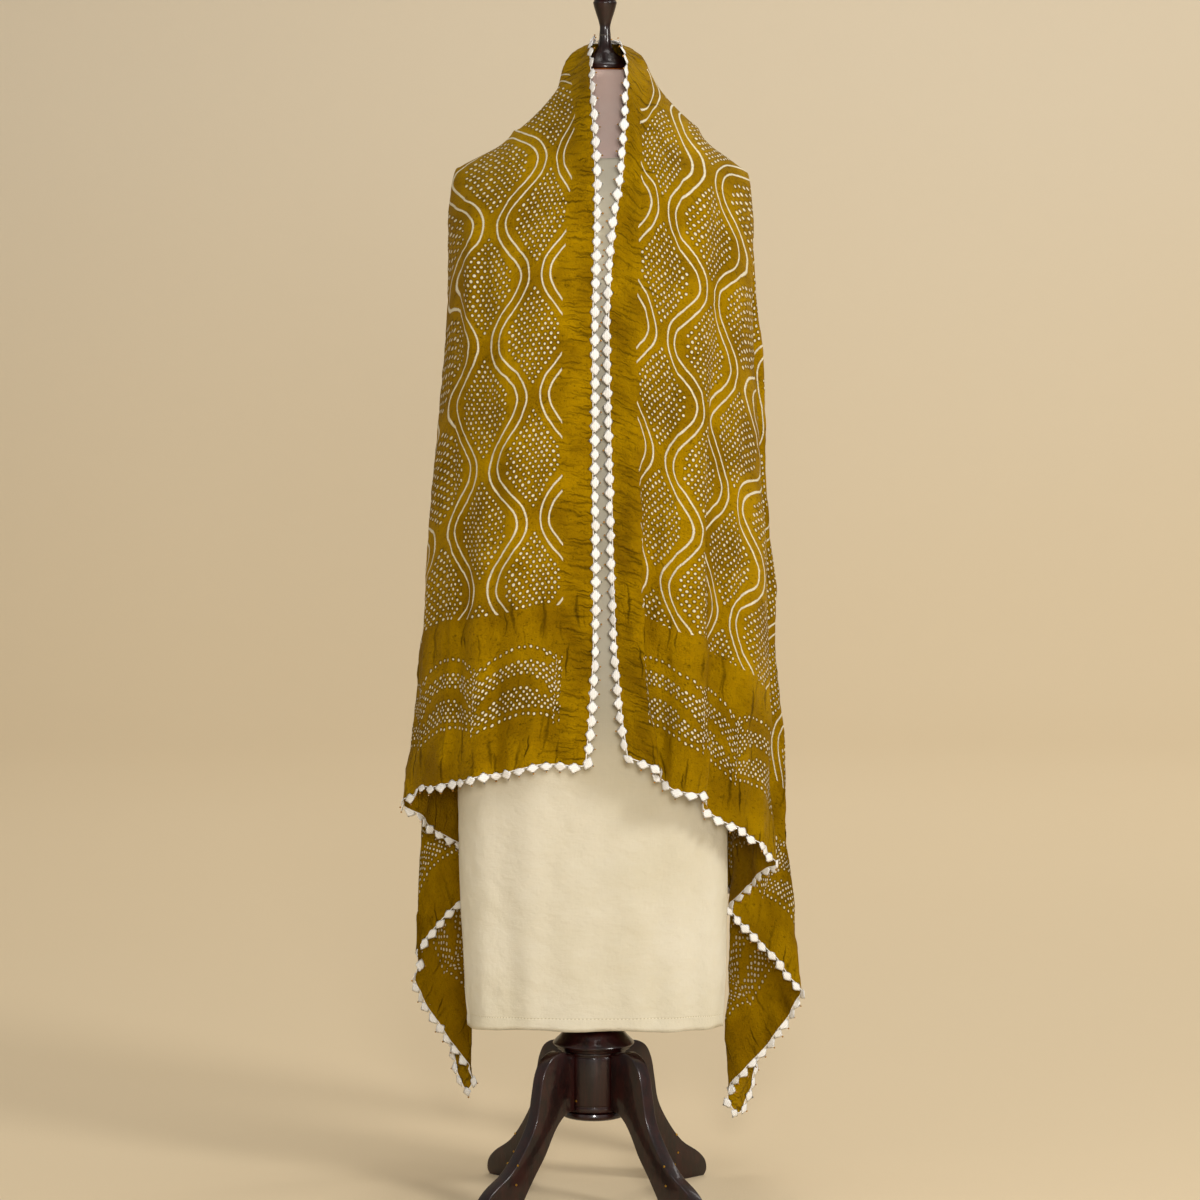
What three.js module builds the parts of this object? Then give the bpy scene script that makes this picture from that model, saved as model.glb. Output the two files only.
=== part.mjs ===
// A tie-dyed bandhani shawl hung over the shoulders of a dress form on a turned wooden stand.
// One rectangular cloth with a crochet edging all round lies on the shoulders and round the neck;
// its long front edges hang side by side, and the spare cloth at each side falls in a cascade of
// folds to a low corner. Millimetres, +Z up, the front faces -Y, the feet stand on z = 0.
import * as THREE from "three";
import { mergeVertices } from "three/addons/utils/BufferGeometryUtils.js";

// ---------------------------------------------------------------- driving sizes
const CLOTH = 2; // thickness of the shawl and of the crochet edging
const SEAM_GAP = 0.85; // clear space between the shawl's rim and its edging
const EDGING_WIDTH = 12;
const MITRE_LIMIT = 1.45; // the most that the edging is widened where the rim turns
const DRESS_CLOTH = 2;
const FORM_X = 15.6; // the neck and finial stand this far to the right of the stand's axis

const LEG_THICKNESS = 20;
const LEG_COUNT = 4;
const LEG_TURN = Math.PI / 4 - 0.03; // the first leg, about the axis from +X
const COLUMN_RADIUS = 44;
const FIT_GAP = 0.4; // clear space between fitted pieces of the stand

const COLLAR_RADIUS = 24; // of the cloth's neck edge about the finial, at its sides and back
const COLLAR_TOP = 1580;
const COLLAR_RISE = 20; // how far up and inwards the collar's back edge points

// Samples of the draped sheet: between neighbouring rows of its tables, and down each line.
const STEPS_ACROSS = 3;
const STEPS_DOWN = 12;

// ---------------------------------------------------------------- the drape, in tables
// The ridge: where the cloth lies highest, from its neck edge out to the shoulder tip.
const RIDGE = {
  left: [
    { x: FORM_X - COLLAR_RADIUS, z: COLLAR_TOP },
    { x: -21, z: 1571 },
    { x: -38, z: 1557 },
    { x: -48, z: 1530 },
    { x: -54, z: 1501 },
    { x: -73, z: 1474 },
    { x: -117, z: 1458 },
    { x: -160, z: 1438 },
    { x: -184, z: 1413 },
  ],
  right: [
    { x: FORM_X + COLLAR_RADIUS, z: COLLAR_TOP },
    { x: 53, z: 1572 },
    { x: 66, z: 1560 },
    { x: 76, z: 1538 },
    { x: 92, z: 1512 },
    { x: 121, z: 1482 },
    { x: 150, z: 1459 },
    { x: 183, z: 1438 },
    { x: 210, z: 1413 },
  ],
};

// A row for each main line that hangs from the ridge. "from" is where it leaves the ridge, as a
// share of the ridge's length (0 at the neck edge, 1 at the shoulder tip). "yoke" is where it has
// turned over the shoulder, "full" is at the fullest part of the chest or back, and "end" lies on
// the cloth's rim. The rows run from the front edge by way of the side to the centre of the back.
const LINES = {
  left: [
    { name: "front_edge", from: 0, yoke: [-8, -60, 1546], full: [-3, -119, 1290], end: [-16, -128, 609] },
    { name: "front_band", from: 0.3, yoke: [-46, -62, 1470], full: [-60, -124, 1280], end: [-76, -131, 616] },
    { name: "front", from: 0.68, yoke: [-112, -60, 1415], full: [-124, -107, 1270], end: [-146, -118, 599] },
    { name: "front_side", from: 1, yoke: [-179, -38, 1380], full: [-178, -66, 1270], end: [-210, -76, 582] },
    { name: "fold_1_out", from: 1, yoke: [-194, -6, 1385], full: [-200, -8, 1200], end: [-258, -12, 555] },
    { name: "fold_1_back", from: 1, yoke: [-195, 14, 1378], full: [-194, 30, 1180], end: [-216, 60, 500] },
    { name: "fold_1_in", from: 1, yoke: [-190, 28, 1372], full: [-176, 72, 1160], end: [-132, 136, 428] },
    { name: "fold_2_side", from: 1, yoke: [-189, 36, 1372], full: [-190, 76, 1150], end: [-196, 142, 384] },
    { name: "fold_2_out", from: 1, yoke: [-189, 42, 1374], full: [-202, 84, 1140], end: [-254, 142, 302] },
    { name: "tail", from: 1, yoke: [-184, 48, 1376], full: [-190, 94, 1130], end: [-222, 172, 212] },
    { name: "tail_in", from: 1, yoke: [-178, 53, 1378], full: [-173, 100, 1120], end: [-169, 186, 132] },
    { name: "corner", from: 1, yoke: [-174, 56, 1380], full: [-180, 108, 1120], end: [-180, 199, 114] },
    { name: "back_1", from: 1, yoke: [-170, 60, 1382], full: [-188, 128, 1120], end: [-222, 236, 322] },
    { name: "valley_1", from: 1, yoke: [-162, 63, 1384], full: [-150, 116, 1140], end: [-147, 180, 448] },
    { name: "back_2", from: 0.9, yoke: [-146, 68, 1390], full: [-142, 146, 1160], end: [-156, 232, 508] },
    { name: "valley_2", from: 0.8, yoke: [-126, 71, 1396], full: [-112, 126, 1160], end: [-116, 184, 548] },
    { name: "back_3", from: 0.68, yoke: [-104, 74, 1408], full: [-84, 148, 1180], end: [-92, 226, 570] },
    { name: "valley_3", from: 0.45, yoke: [-68, 74, 1430], full: [-54, 126, 1200], end: [-64, 160, 588] },
    { name: "back_neck", from: 0, yoke: [-10, 60, 1544], full: [-24, 132, 1240], end: [-34, 200, 584] },
  ],
  right: [
    { name: "front_edge", from: 0, yoke: [46, -60, 1546], full: [29, -119, 1290], end: [46, -126, 625] },
    { name: "pleat_1_out", from: 0.22, yoke: [72, -64, 1480], full: [66, -126, 1280], end: [86, -137, 612] },
    { name: "pleat_1_in", from: 0.3, yoke: [80, -62, 1470], full: [74, -121, 1280], end: [76, -116, 603] },
    { name: "front", from: 0.62, yoke: [120, -62, 1432], full: [118, -114, 1270], end: [119, -124, 579] },
    { name: "pleat_2_out", from: 0.8, yoke: [158, -56, 1410], full: [152, -98, 1270], end: [155, -119, 570] },
    { name: "pleat_2_in", from: 0.9, yoke: [172, -48, 1400], full: [166, -84, 1270], end: [146, -92, 554] },
    { name: "front_side", from: 1, yoke: [200, -34, 1384], full: [198, -58, 1250], end: [200, -68, 519] },
    { name: "fold_1_out", from: 1, yoke: [214, -6, 1385], full: [218, -6, 1200], end: [252, -14, 472] },
    { name: "fold_1_back", from: 1, yoke: [214, 12, 1378], full: [212, 26, 1180], end: [217, 44, 432] },
    { name: "fold_1_in", from: 1, yoke: [210, 26, 1374], full: [200, 60, 1160], end: [193, 88, 392] },
    { name: "fold_2_side", from: 1, yoke: [214, 34, 1374], full: [217, 66, 1150], end: [240, 104, 330] },
    { name: "fold_2_out", from: 1, yoke: [216, 40, 1376], full: [230, 72, 1140], end: [285, 119, 270] },
    { name: "tail", from: 1, yoke: [208, 46, 1378], full: [216, 84, 1130], end: [248, 146, 190] },
    { name: "tail_in", from: 1, yoke: [200, 52, 1380], full: [194, 96, 1120], end: [188, 164, 118] },
    { name: "corner", from: 1, yoke: [196, 56, 1382], full: [198, 106, 1120], end: [207, 180, 82] },
    { name: "back_1", from: 1, yoke: [190, 61, 1384], full: [208, 128, 1120], end: [244, 226, 320] },
    { name: "valley_1", from: 1, yoke: [182, 65, 1386], full: [170, 116, 1140], end: [166, 180, 440] },
    { name: "back_2", from: 0.9, yoke: [168, 70, 1392], full: [162, 146, 1160], end: [182, 228, 492] },
    { name: "valley_2", from: 0.8, yoke: [148, 72, 1398], full: [132, 126, 1160], end: [140, 182, 538] },
    { name: "back_3", from: 0.62, yoke: [124, 76, 1410], full: [104, 148, 1180], end: [113, 226, 564] },
    { name: "valley_3", from: 0.42, yoke: [94, 76, 1434], full: [78, 126, 1200], end: [78, 158, 586] },
    { name: "back_neck", from: 0, yoke: [41, 60, 1544], full: [48, 132, 1240], end: [44, 198, 584] },
  ],
};

// The centre of the back, which both halves share.
const CENTRE_BACK = [
  [FORM_X, COLLAR_RADIUS, COLLAR_TOP],
  [FORM_X, 64, 1544],
  [FORM_X - 2, 132, 1240],
  [4, 182, 583],
];

// ---------------------------------------------------------------- the form and its dress
// A row for each level, as an ellipse about cx; zSide lifts the ring at its two sides.
const TORSO = [
  { z: 740, zSide: 740, cx: 2, a: 120, b: 62 },
  { z: 770, zSide: 770, cx: 2, a: 158, b: 84 },
  { z: 880, zSide: 880, cx: 3, a: 176, b: 98 },
  { z: 1050, zSide: 1050, cx: 6, a: 148, b: 84 },
  { z: 1180, zSide: 1180, cx: 9, a: 168, b: 98 },
  { z: 1290, zSide: 1290, cx: 11, a: 180, b: 102 },
  { z: 1370, zSide: 1370, cx: 12, a: 186, b: 84 },
  { z: 1400, zSide: 1412, cx: 12, a: 162, b: 66 },
  { z: 1416, zSide: 1440, cx: 13, a: 118, b: 56 },
  { z: 1440, zSide: 1456, cx: 14, a: 74, b: 50 },
  { z: 1470, zSide: 1474, cx: 15, a: 50, b: 45 },
  { z: 1510, zSide: 1510, cx: FORM_X, a: 40, b: 40 },
  { z: 1544.6, zSide: 1544.6, cx: FORM_X, a: 38, b: 38 },
];

const DRESS = [
  { z: 238, zSide: 238, cx: 2, a: 177, b: 46 },
  { z: 330, zSide: 330, cx: 1, a: 181, b: 52 },
  { z: 480, zSide: 480, cx: 0, a: 185, b: 62 },
  { z: 660, zSide: 660, cx: 1, a: 187, b: 84 },
  { z: 860, zSide: 860, cx: 3, a: 186, b: 106 },
  { z: 1060, zSide: 1060, cx: 6, a: 176, b: 104 },
  { z: 1200, zSide: 1200, cx: 9, a: 180, b: 108 },
  { z: 1290, zSide: 1290, cx: 11, a: 187, b: 109 },
  { z: 1366, zSide: 1376, cx: 12, a: 193, b: 92 },
  { z: 1398, zSide: 1420, cx: 12, a: 164, b: 74 },
  { z: 1414, zSide: 1446, cx: 13, a: 120, b: 64 },
  { z: 1424, zSide: 1458, cx: 14, a: 88, b: 60 },
];
const RING_SIDES = 24;

// ---------------------------------------------------------------- the stand
// Lathe profiles, radius then height, from the axis at the bottom to the axis at the top.
const BOTTOM_DISC = [[0, 112], [38, 112], [43, 114], [45, 117], [44, 121.6], [0, 121.6]];
const COLUMN = [[0, 122], [COLUMN_RADIUS, 122], [COLUMN_RADIUS, 205.6], [0, 205.6]];
const BASE_COLLAR = [
  [0, 206], [47, 206], [50, 208], [51, 210], [54, 212], [56, 215], [54, 218], [46, 226], [41, 232],
  [34, 237], [26, 240], [0, 240],
];
const POLE = [[0, 240.4], [16, 240.4], [16, 739.6], [0, 739.6]];
const NECK_CAP = [
  [0, 1545], [39, 1545], [40, 1547], [39.5, 1550], [35, 1554], [28, 1558], [20, 1563], [14, 1568],
  [10, 1575], [8.2, 1583], [7.8, 1590.6], [0, 1590.6],
];
const FINIAL = [
  [0, 1591], [7.8, 1591], [7, 1601], [8.6, 1609], [12.5, 1621], [15.4, 1631], [16, 1635],
  [14.6, 1637], [16.2, 1639], [16.4, 1645], [14, 1656], [9, 1667], [6, 1671], [8, 1676],
  [8.6, 1681], [6, 1687], [0, 1690],
];
const LATHE_SIDES = 24;

// A leg's outline in its own upright plane: distance from the stand's axis, then height. It is
// let into the column's side, and its shoulder rises outside the collar's rim.
const LEG_ROOT = COLUMN_RADIUS + FIT_GAP;
const LEG_ROOT_BOTTOM = 126;
const LEG_SHOULDER = [
  [LEG_ROOT, 205.6],
  [58, 205.6],
  [60, 209],
];
const LEG_OUTER = [
  [72, 210],
  [91, 201],
  [102, 182],
  [108, 155],
  [115, 121],
  [132, 91],
  [162, 56],
  [195, 35],
  [208, 21],
  [210, 8],
  [205, 0],
];
const LEG_SOLE_END = 148;
const LEG_INNER = [
  [120, 42],
  [98, 72],
  [85, 95],
  [73, 112],
  [58, 124],
  [LEG_ROOT, LEG_ROOT_BOTTOM],
];

// ---------------------------------------------------------------- colours
const finish = (color, roughness, metalness = 0) =>
  new THREE.MeshStandardMaterial({ color, roughness, metalness, side: THREE.DoubleSide });
const MUSTARD = finish(0x9c7a06, 0.85);
const CROCHET = finish(0xf0eadc, 0.9);
const CREAM = finish(0xe4dcb8, 0.85);
const JERSEY = finish(0xe0b8a8, 0.8);
const MAHOGANY = finish(0x2a0f0b, 0.2);

// ---------------------------------------------------------------- geometry helpers
const point = ([x, y, z]) => new THREE.Vector3(x, y, z);
const spline = (points) => new THREE.CatmullRomCurve3(points, false, "centripetal");

// A closed body from a list of triangles, each three Vector3.
function bodyOf(triangles) {
  const geometry = new THREE.BufferGeometry().setFromPoints(triangles.flat());
  geometry.computeVertexNormals();
  return geometry;
}

function addQuad(triangles, a, b, c, d) {
  triangles.push([a, b, c], [a, c, d]);
}

// The ring of a level, as points counter-clockwise seen from above, grown outwards by "grow".
function ring({ z, zSide, cx, a, b }, grow = 0) {
  return Array.from({ length: RING_SIDES }, (_, i) => {
    const angle = (2 * Math.PI * i) / RING_SIDES;
    const side = Math.cos(angle) ** 2;
    return new THREE.Vector3(
      cx + (a + grow) * Math.cos(angle),
      (b + grow) * Math.sin(angle),
      z + (zSide - z) * side,
    );
  });
}

// The wall through rings that run upwards, its faces pointing outwards.
function addWall(triangles, rings, inwards = false) {
  for (let k = 0; k + 1 < rings.length; k++) {
    for (let i = 0; i < RING_SIDES; i++) {
      const j = (i + 1) % RING_SIDES;
      const corners = [rings[k][i], rings[k][j], rings[k + 1][j], rings[k + 1][i]];
      addQuad(triangles, ...(inwards ? corners.reverse() : corners));
    }
  }
}

// A solid through levels, closed by a fan at its bottom and its top.
function loftSolid(levels) {
  const rings = levels.map((level) => ring(level));
  const triangles = [];
  addWall(triangles, rings);
  const first = levels[0];
  const last = levels[levels.length - 1];
  const bottom = new THREE.Vector3(first.cx, 0, first.z);
  const top = new THREE.Vector3(last.cx, 0, last.z);
  for (let i = 0; i < RING_SIDES; i++) {
    const j = (i + 1) % RING_SIDES;
    triangles.push([bottom, rings[0][j], rings[0][i]]);
    triangles.push([top, rings[rings.length - 1][i], rings[rings.length - 1][j]]);
  }
  return bodyOf(triangles);
}

// A shell of one thickness through levels, open at the bottom and the top.
function loftShell(levels, thickness) {
  const outer = levels.map((level) => ring(level));
  const inner = levels.map((level) => ring(level, -thickness));
  const triangles = [];
  addWall(triangles, outer);
  addWall(triangles, inner, true);
  const top = levels.length - 1;
  for (let i = 0; i < RING_SIDES; i++) {
    const j = (i + 1) % RING_SIDES;
    addQuad(triangles, outer[0][j], outer[0][i], inner[0][i], inner[0][j]);
    addQuad(triangles, outer[top][i], outer[top][j], inner[top][j], inner[top][i]);
  }
  return bodyOf(triangles);
}

// A middle surface with shared corners: its points, its triangles, each corner's normal, and the
// directed edges of its rim.
function surfaceOf(triangles) {
  const merged = mergeVertices(new THREE.BufferGeometry().setFromPoints(triangles.flat()), 1e-3);
  const positions = merged.getAttribute("position");
  const points = Array.from({ length: positions.count }, (_, i) =>
    new THREE.Vector3().fromBufferAttribute(positions, i),
  );
  const normals = points.map(() => new THREE.Vector3());
  const faces = [];
  const directed = new Set();
  for (let i = 0; i < merged.index.count; i += 3) {
    const face = [0, 1, 2].map((k) => merged.index.getX(i + k));
    if (new Set(face).size < 3) continue;
    const [a, b, c] = face.map((k) => points[k]);
    const normal = b.clone().sub(a).cross(c.clone().sub(a));
    face.forEach((k, n) => {
      normals[k].add(normal);
      directed.add(`${k},${face[(n + 1) % 3]}`);
    });
    faces.push(face);
  }
  normals.forEach((normal) => normal.normalize());
  const rim = [...directed]
    .map((key) => key.split(",").map(Number))
    .filter(([a, b]) => !directed.has(`${b},${a}`));
  return { points, normals, faces, rim };
}

// A sheet of one thickness about a middle surface.
function sheetSolid({ points, normals, faces, rim }, thickness) {
  const lifted = (k, side) => points[k].clone().addScaledVector(normals[k], (side * thickness) / 2);
  const front = points.map((_, k) => lifted(k, 1));
  const back = points.map((_, k) => lifted(k, -1));
  const triangles = [];
  for (const [a, b, c] of faces) {
    triangles.push([front[a], front[b], front[c]], [back[c], back[b], back[a]]);
  }
  for (const [a, b] of rim) addQuad(triangles, front[b], front[a], back[a], back[b]);
  return bodyOf(triangles);
}

// The rim's corners in order, each with the step that carries the cloth 1 mm on past its rim,
// which is longer at a turn, as a mitre is.
function rimLoop({ points, normals, rim }) {
  const next = new Map(rim);
  const order = [rim[0][0]];
  while (next.get(order[order.length - 1]) !== order[0]) order.push(next.get(order[order.length - 1]));
  return order.map((k, i) => {
    const arriving = points[k].clone().sub(points[order[(i + order.length - 1) % order.length]]);
    const leaving = points[order[(i + 1) % order.length]].clone().sub(points[k]);
    const along = arriving.normalize().add(leaving.normalize());
    const mitre = Math.min(2 / along.length(), MITRE_LIMIT);
    const out = along.cross(normals[k]).setLength(mitre);
    return { at: points[k], normal: normals[k], out };
  });
}

// A flat strip that runs on from a sheet's rim, one closed loop.
function edgingSolid(surface, gap, width, thickness) {
  const loop = rimLoop(surface);
  const sections = loop.map(({ at, normal, out }) =>
    [
      [gap, 1],
      [gap + width, 1],
      [gap + width, -1],
      [gap, -1],
    ].map(([reach, side]) =>
      at.clone().addScaledVector(out, reach).addScaledVector(normal, (side * thickness) / 2),
    ),
  );
  const triangles = [];
  sections.forEach((section, i) => {
    const following = sections[(i + 1) % sections.length];
    for (let k = 0; k < 4; k++) {
      const n = (k + 1) % 4;
      addQuad(triangles, section[k], section[n], following[n], following[k]);
    }
  });
  return bodyOf(triangles);
}

// ---------------------------------------------------------------- the shawl
// Points down one hanging line; "mirror" is the point opposite the yoke that sets how level the
// line starts at the ridge.
function lineDown(top, row, mirror) {
  const curve = spline([mirror, top, point(row.yoke), point(row.full), point(row.end)]);
  const share = Array.from({ length: STEPS_DOWN + 1 }, (_, k) => k / STEPS_DOWN);
  return share.map((t) => curve.getPoint(0.25 + 0.75 * t));
}

// A point of the neck edge behind the finial: share 0 is at the side where x is, 1 at the back.
function collarPoint(x, share) {
  const angle = (share * Math.PI) / 2;
  return new THREE.Vector3(
    FORM_X + (x - FORM_X) * Math.cos(angle),
    COLLAR_RADIUS * Math.sin(angle),
    COLLAR_TOP,
  );
}

// One half of the cloth, as a grid of hanging lines: columns run from the front edge to the
// centre of the back, and each starts on the ridge, where front and back lines share their tops.
function halfColumns(side) {
  const ridge = spline(RIDGE[side].map(({ x, z }) => new THREE.Vector3(x, 0, z)));
  const rows = LINES[side];
  const opposite = (row, top) => {
    const [x, y, z] = row.yoke;
    return new THREE.Vector3(row.from < 1 ? x : 2 * top.x - x, -y, z);
  };
  const tops = rows.map((row) => ridge.getPointAt(row.from));
  const lines = rows.map((row, i) => lineDown(tops[i], row, opposite(row, tops[i])));
  const [top, yoke, full, end] = CENTRE_BACK;
  const centre = { yoke, full, end };
  const rise = new THREE.Vector3(0, -COLLAR_RISE, COLLAR_RISE);
  lines.push(lineDown(point(top), centre, point(top).add(rise)));

  // Places count rows: 0 is the front edge and the last is the centre of the back. The front and
  // back lines that leave the ridge start at the same stations along it, so that they weld.
  const tip = rows.findIndex((row) => row.from === 1);
  const tipEnd = rows.findLastIndex((row) => row.from === 1);
  const last = rows.length;
  const steps = (from, to) =>
    Array.from({ length: STEPS_ACROSS }, (_, i) => THREE.MathUtils.lerp(from, to, i / STEPS_ACROSS));
  const placeOf = (share, first, end) => {
    let low = first;
    while (low < end - 1 && (share - rows[low].from) * (share - rows[low + 1].from) > 0) low++;
    return low + (share - rows[low].from) / (rows[low + 1].from - rows[low].from);
  };
  const knots = [...new Set(rows.map((row) => row.from))].sort((a, b) => a - b);
  const shares = knots.slice(1).flatMap((knot, i) => steps(knots[i], knot));
  const onRidge = (share, first, end) => ({
    place: placeOf(share, first, end),
    start: ridge.getPointAt(share),
  });
  const cone = Array.from({ length: tipEnd - tip }, (_, i) => steps(tip + i, tip + i + 1)).flat();
  const stations = [
    ...shares.map((share) => onRidge(share, 0, tip)),
    ...cone.map((place) => ({ place, start: tops[tip] })),
    { place: tipEnd, start: tops[tip] },
    ...shares.toReversed().map((share) => onRidge(share, tipEnd, last - 1)),
    ...steps(last - 1, last)
      .slice(1)
      .map((place) => ({ place, start: collarPoint(tops[0].x, place - last + 1) })),
    { place: last, start: point(top) },
  ];

  // Below the ridge every level is one smooth curve across all the lines.
  const levels = Array.from({ length: STEPS_DOWN }, (_, k) => spline(lines.map((line) => line[k + 1])));
  return stations.map(({ place, start }) => [
    start,
    ...levels.map((level) => level.getPoint(place / last)),
  ]);
}

function shawlTriangles() {
  const triangles = [];
  for (const side of ["left", "right"]) {
    const columns = halfColumns(side);
    for (let i = 0; i + 1 < columns.length; i++) {
      for (let k = 0; k < STEPS_DOWN; k++) {
        const corners = [columns[i][k], columns[i + 1][k], columns[i + 1][k + 1], columns[i][k + 1]];
        addQuad(triangles, ...(side === "left" ? corners : corners.reverse()));
      }
    }
  }
  return triangles;
}

// ---------------------------------------------------------------- assembly
const root = new THREE.Group();
const stand = new THREE.Group(); // everything, about the stand's own axis
root.add(stand);

function add(name, geometry, material, parent = stand) {
  const mesh = new THREE.Mesh(geometry, material);
  mesh.name = name;
  parent.add(mesh);
  return mesh;
}

// A turned piece: lathe geometry stands along Y, so it is tipped up to stand along Z.
function turned(name, profile, material, x = 0) {
  const outline = profile.map(([radius, height]) => new THREE.Vector2(radius, height));
  const mesh = add(name, new THREE.LatheGeometry(outline, LATHE_SIDES), material);
  mesh.rotation.x = Math.PI / 2;
  mesh.position.x = x;
  return mesh;
}

function legGeometry() {
  const corner = ([x, y]) => new THREE.Vector2(x, y);
  const outline = new THREE.Shape();
  outline.moveTo(...LEG_SHOULDER[0]);
  for (const place of LEG_SHOULDER.slice(1)) outline.lineTo(...place);
  outline.splineThru(LEG_OUTER.map(corner));
  outline.lineTo(LEG_SOLE_END, 0);
  outline.splineThru(LEG_INNER.map(corner));
  outline.closePath();
  return new THREE.ExtrudeGeometry(outline, {
    depth: LEG_THICKNESS,
    bevelEnabled: false,
    curveSegments: 3,
  }).translate(0, 0, -LEG_THICKNESS / 2);
}

const surface = surfaceOf(shawlTriangles());
add("shawl", sheetSolid(surface, CLOTH), MUSTARD);
add("edging", edgingSolid(surface, CLOTH / 2 + SEAM_GAP, EDGING_WIDTH, CLOTH), CROCHET);
add("dress", loftShell(DRESS, DRESS_CLOTH), CREAM);
add("form", loftSolid(TORSO), JERSEY);
turned("neck_cap", NECK_CAP, MAHOGANY, FORM_X);
turned("finial", FINIAL, MAHOGANY, FORM_X);
turned("pole", POLE, MAHOGANY);
turned("base_collar", BASE_COLLAR, MAHOGANY);
turned("column", COLUMN, MAHOGANY);
turned("bottom_disc", BOTTOM_DISC, MAHOGANY);
for (let i = 0; i < LEG_COUNT; i++) {
  const turn = new THREE.Group();
  turn.rotation.z = LEG_TURN + (2 * Math.PI * i) / LEG_COUNT;
  stand.add(turn);
  const leg = add(`leg_${i + 1}`, legGeometry(), MAHOGANY, turn);
  leg.rotation.x = Math.PI / 2;
}

// The origin is under the middle of the whole thing, on the surface that it stands on.
const middle = new THREE.Box3().setFromObject(root).getCenter(new THREE.Vector3());
stand.position.set(-middle.x, -middle.y, 0);

export default root;
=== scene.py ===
"""Looks of a bandhani shawl with a crochet edging, hung on a dress form and its turned stand.

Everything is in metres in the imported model's own frame: +Z up, the front towards -Y. Sizes in the
tables are millimetres about the stand's axis, and are moved to the frame by the column's box.
"""

from __future__ import annotations

import logging
import math
from dataclasses import dataclass, field
from enum import Enum
from typing import Callable, Optional, Sequence, Union

import bmesh
import bpy
import numpy as np
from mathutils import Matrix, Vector


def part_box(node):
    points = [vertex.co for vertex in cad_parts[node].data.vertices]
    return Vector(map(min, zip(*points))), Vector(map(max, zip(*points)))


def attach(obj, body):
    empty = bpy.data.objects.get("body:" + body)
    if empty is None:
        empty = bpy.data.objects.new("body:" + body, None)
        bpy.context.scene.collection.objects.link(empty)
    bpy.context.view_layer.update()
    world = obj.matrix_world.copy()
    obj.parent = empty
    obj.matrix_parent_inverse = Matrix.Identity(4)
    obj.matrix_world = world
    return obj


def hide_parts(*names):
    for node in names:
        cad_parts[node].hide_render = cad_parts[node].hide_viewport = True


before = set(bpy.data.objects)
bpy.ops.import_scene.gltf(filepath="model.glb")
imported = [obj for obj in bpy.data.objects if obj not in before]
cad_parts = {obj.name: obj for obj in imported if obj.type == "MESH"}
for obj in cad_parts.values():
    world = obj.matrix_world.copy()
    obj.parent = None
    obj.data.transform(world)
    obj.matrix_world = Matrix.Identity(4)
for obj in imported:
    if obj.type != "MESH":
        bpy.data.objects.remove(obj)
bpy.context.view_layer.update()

log = logging.getLogger("shawl")
logging.basicConfig(level=logging.INFO, format="%(name)s: %(message)s")

MM = 0.001
BODY = "root"

Triple = tuple[float, float, float]
Socket = bpy.types.NodeSocket
Term = Union["Value", float, int]


def stand_axis() -> np.ndarray:
    """The stand's own axis in the frame, as (x, y, 0)."""
    low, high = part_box("column")
    return np.array([(low[0] + high[0]) / 2, (low[1] + high[1]) / 2, 0.0])


AXIS = stand_axis()
FORM_X = 15.6  # mm from the stand's axis to the neck's and the finial's axis


# ---------------------------------------------------------------- curves and noise
def catmull(points: np.ndarray, shares: np.ndarray, even: bool = False) -> np.ndarray:
    """Points on a Catmull-Rom curve.

    Args:
        points: control points, shape (..., n, d).
        shares: where to sample, 0 at the first point and 1 at the last.
        even: True for the uniform form, False for the centripetal one.

    Returns:
        The samples, shape (..., len(shares), d).
    """
    before = 2 * points[..., :1, :] - points[..., 1:2, :]
    after = 2 * points[..., -1:, :] - points[..., -2:-1, :]
    padded = np.concatenate([before, points, after], axis=-2)
    place = np.clip(shares, 0, 1) * (points.shape[-2] - 1)
    segment = np.minimum(place.astype(int), points.shape[-2] - 2)
    t = (place - segment)[:, None]
    p0, p1, p2, p3 = (padded[..., segment + k, :] for k in range(4))
    if even:
        tangent_1 = (p2 - p0) / 2
        tangent_2 = (p3 - p1) / 2
    else:
        tiny = 1e-5
        d1 = np.sqrt(np.linalg.norm(p2 - p1, axis=-1, keepdims=True))
        d1 = np.where(d1 < tiny, 1.0, d1)
        d0 = np.sqrt(np.linalg.norm(p1 - p0, axis=-1, keepdims=True))
        d0 = np.where(d0 < tiny, d1, d0)
        d2 = np.sqrt(np.linalg.norm(p3 - p2, axis=-1, keepdims=True))
        d2 = np.where(d2 < tiny, d1, d2)
        tangent_1 = ((p1 - p0) / d0 - (p2 - p0) / (d0 + d1) + (p2 - p1) / d1) * d1
        tangent_2 = ((p2 - p1) / d1 - (p3 - p1) / (d1 + d2) + (p3 - p2) / d2) * d1
    curve = p1 + tangent_1 * t
    curve = curve + (-3 * p1 + 3 * p2 - 2 * tangent_1 - tangent_2) * t**2
    return curve + (2 * p1 - 2 * p2 + tangent_1 + tangent_2) * t**3


def path_lengths(points: np.ndarray) -> np.ndarray:
    """Running length along points, shape (..., n), starting at 0."""
    steps = np.linalg.norm(np.diff(points, axis=-2), axis=-1)
    zero = np.zeros(steps.shape[:-1] + (1,))
    return np.concatenate([zero, np.cumsum(steps, axis=-1)], axis=-1)


def ease(low: float, high: float, value: np.ndarray) -> np.ndarray:
    """A smooth step from 0 at low to 1 at high."""
    t = np.clip((value - low) / (high - low), 0, 1)
    return t * t * (3 - 2 * t)


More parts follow.
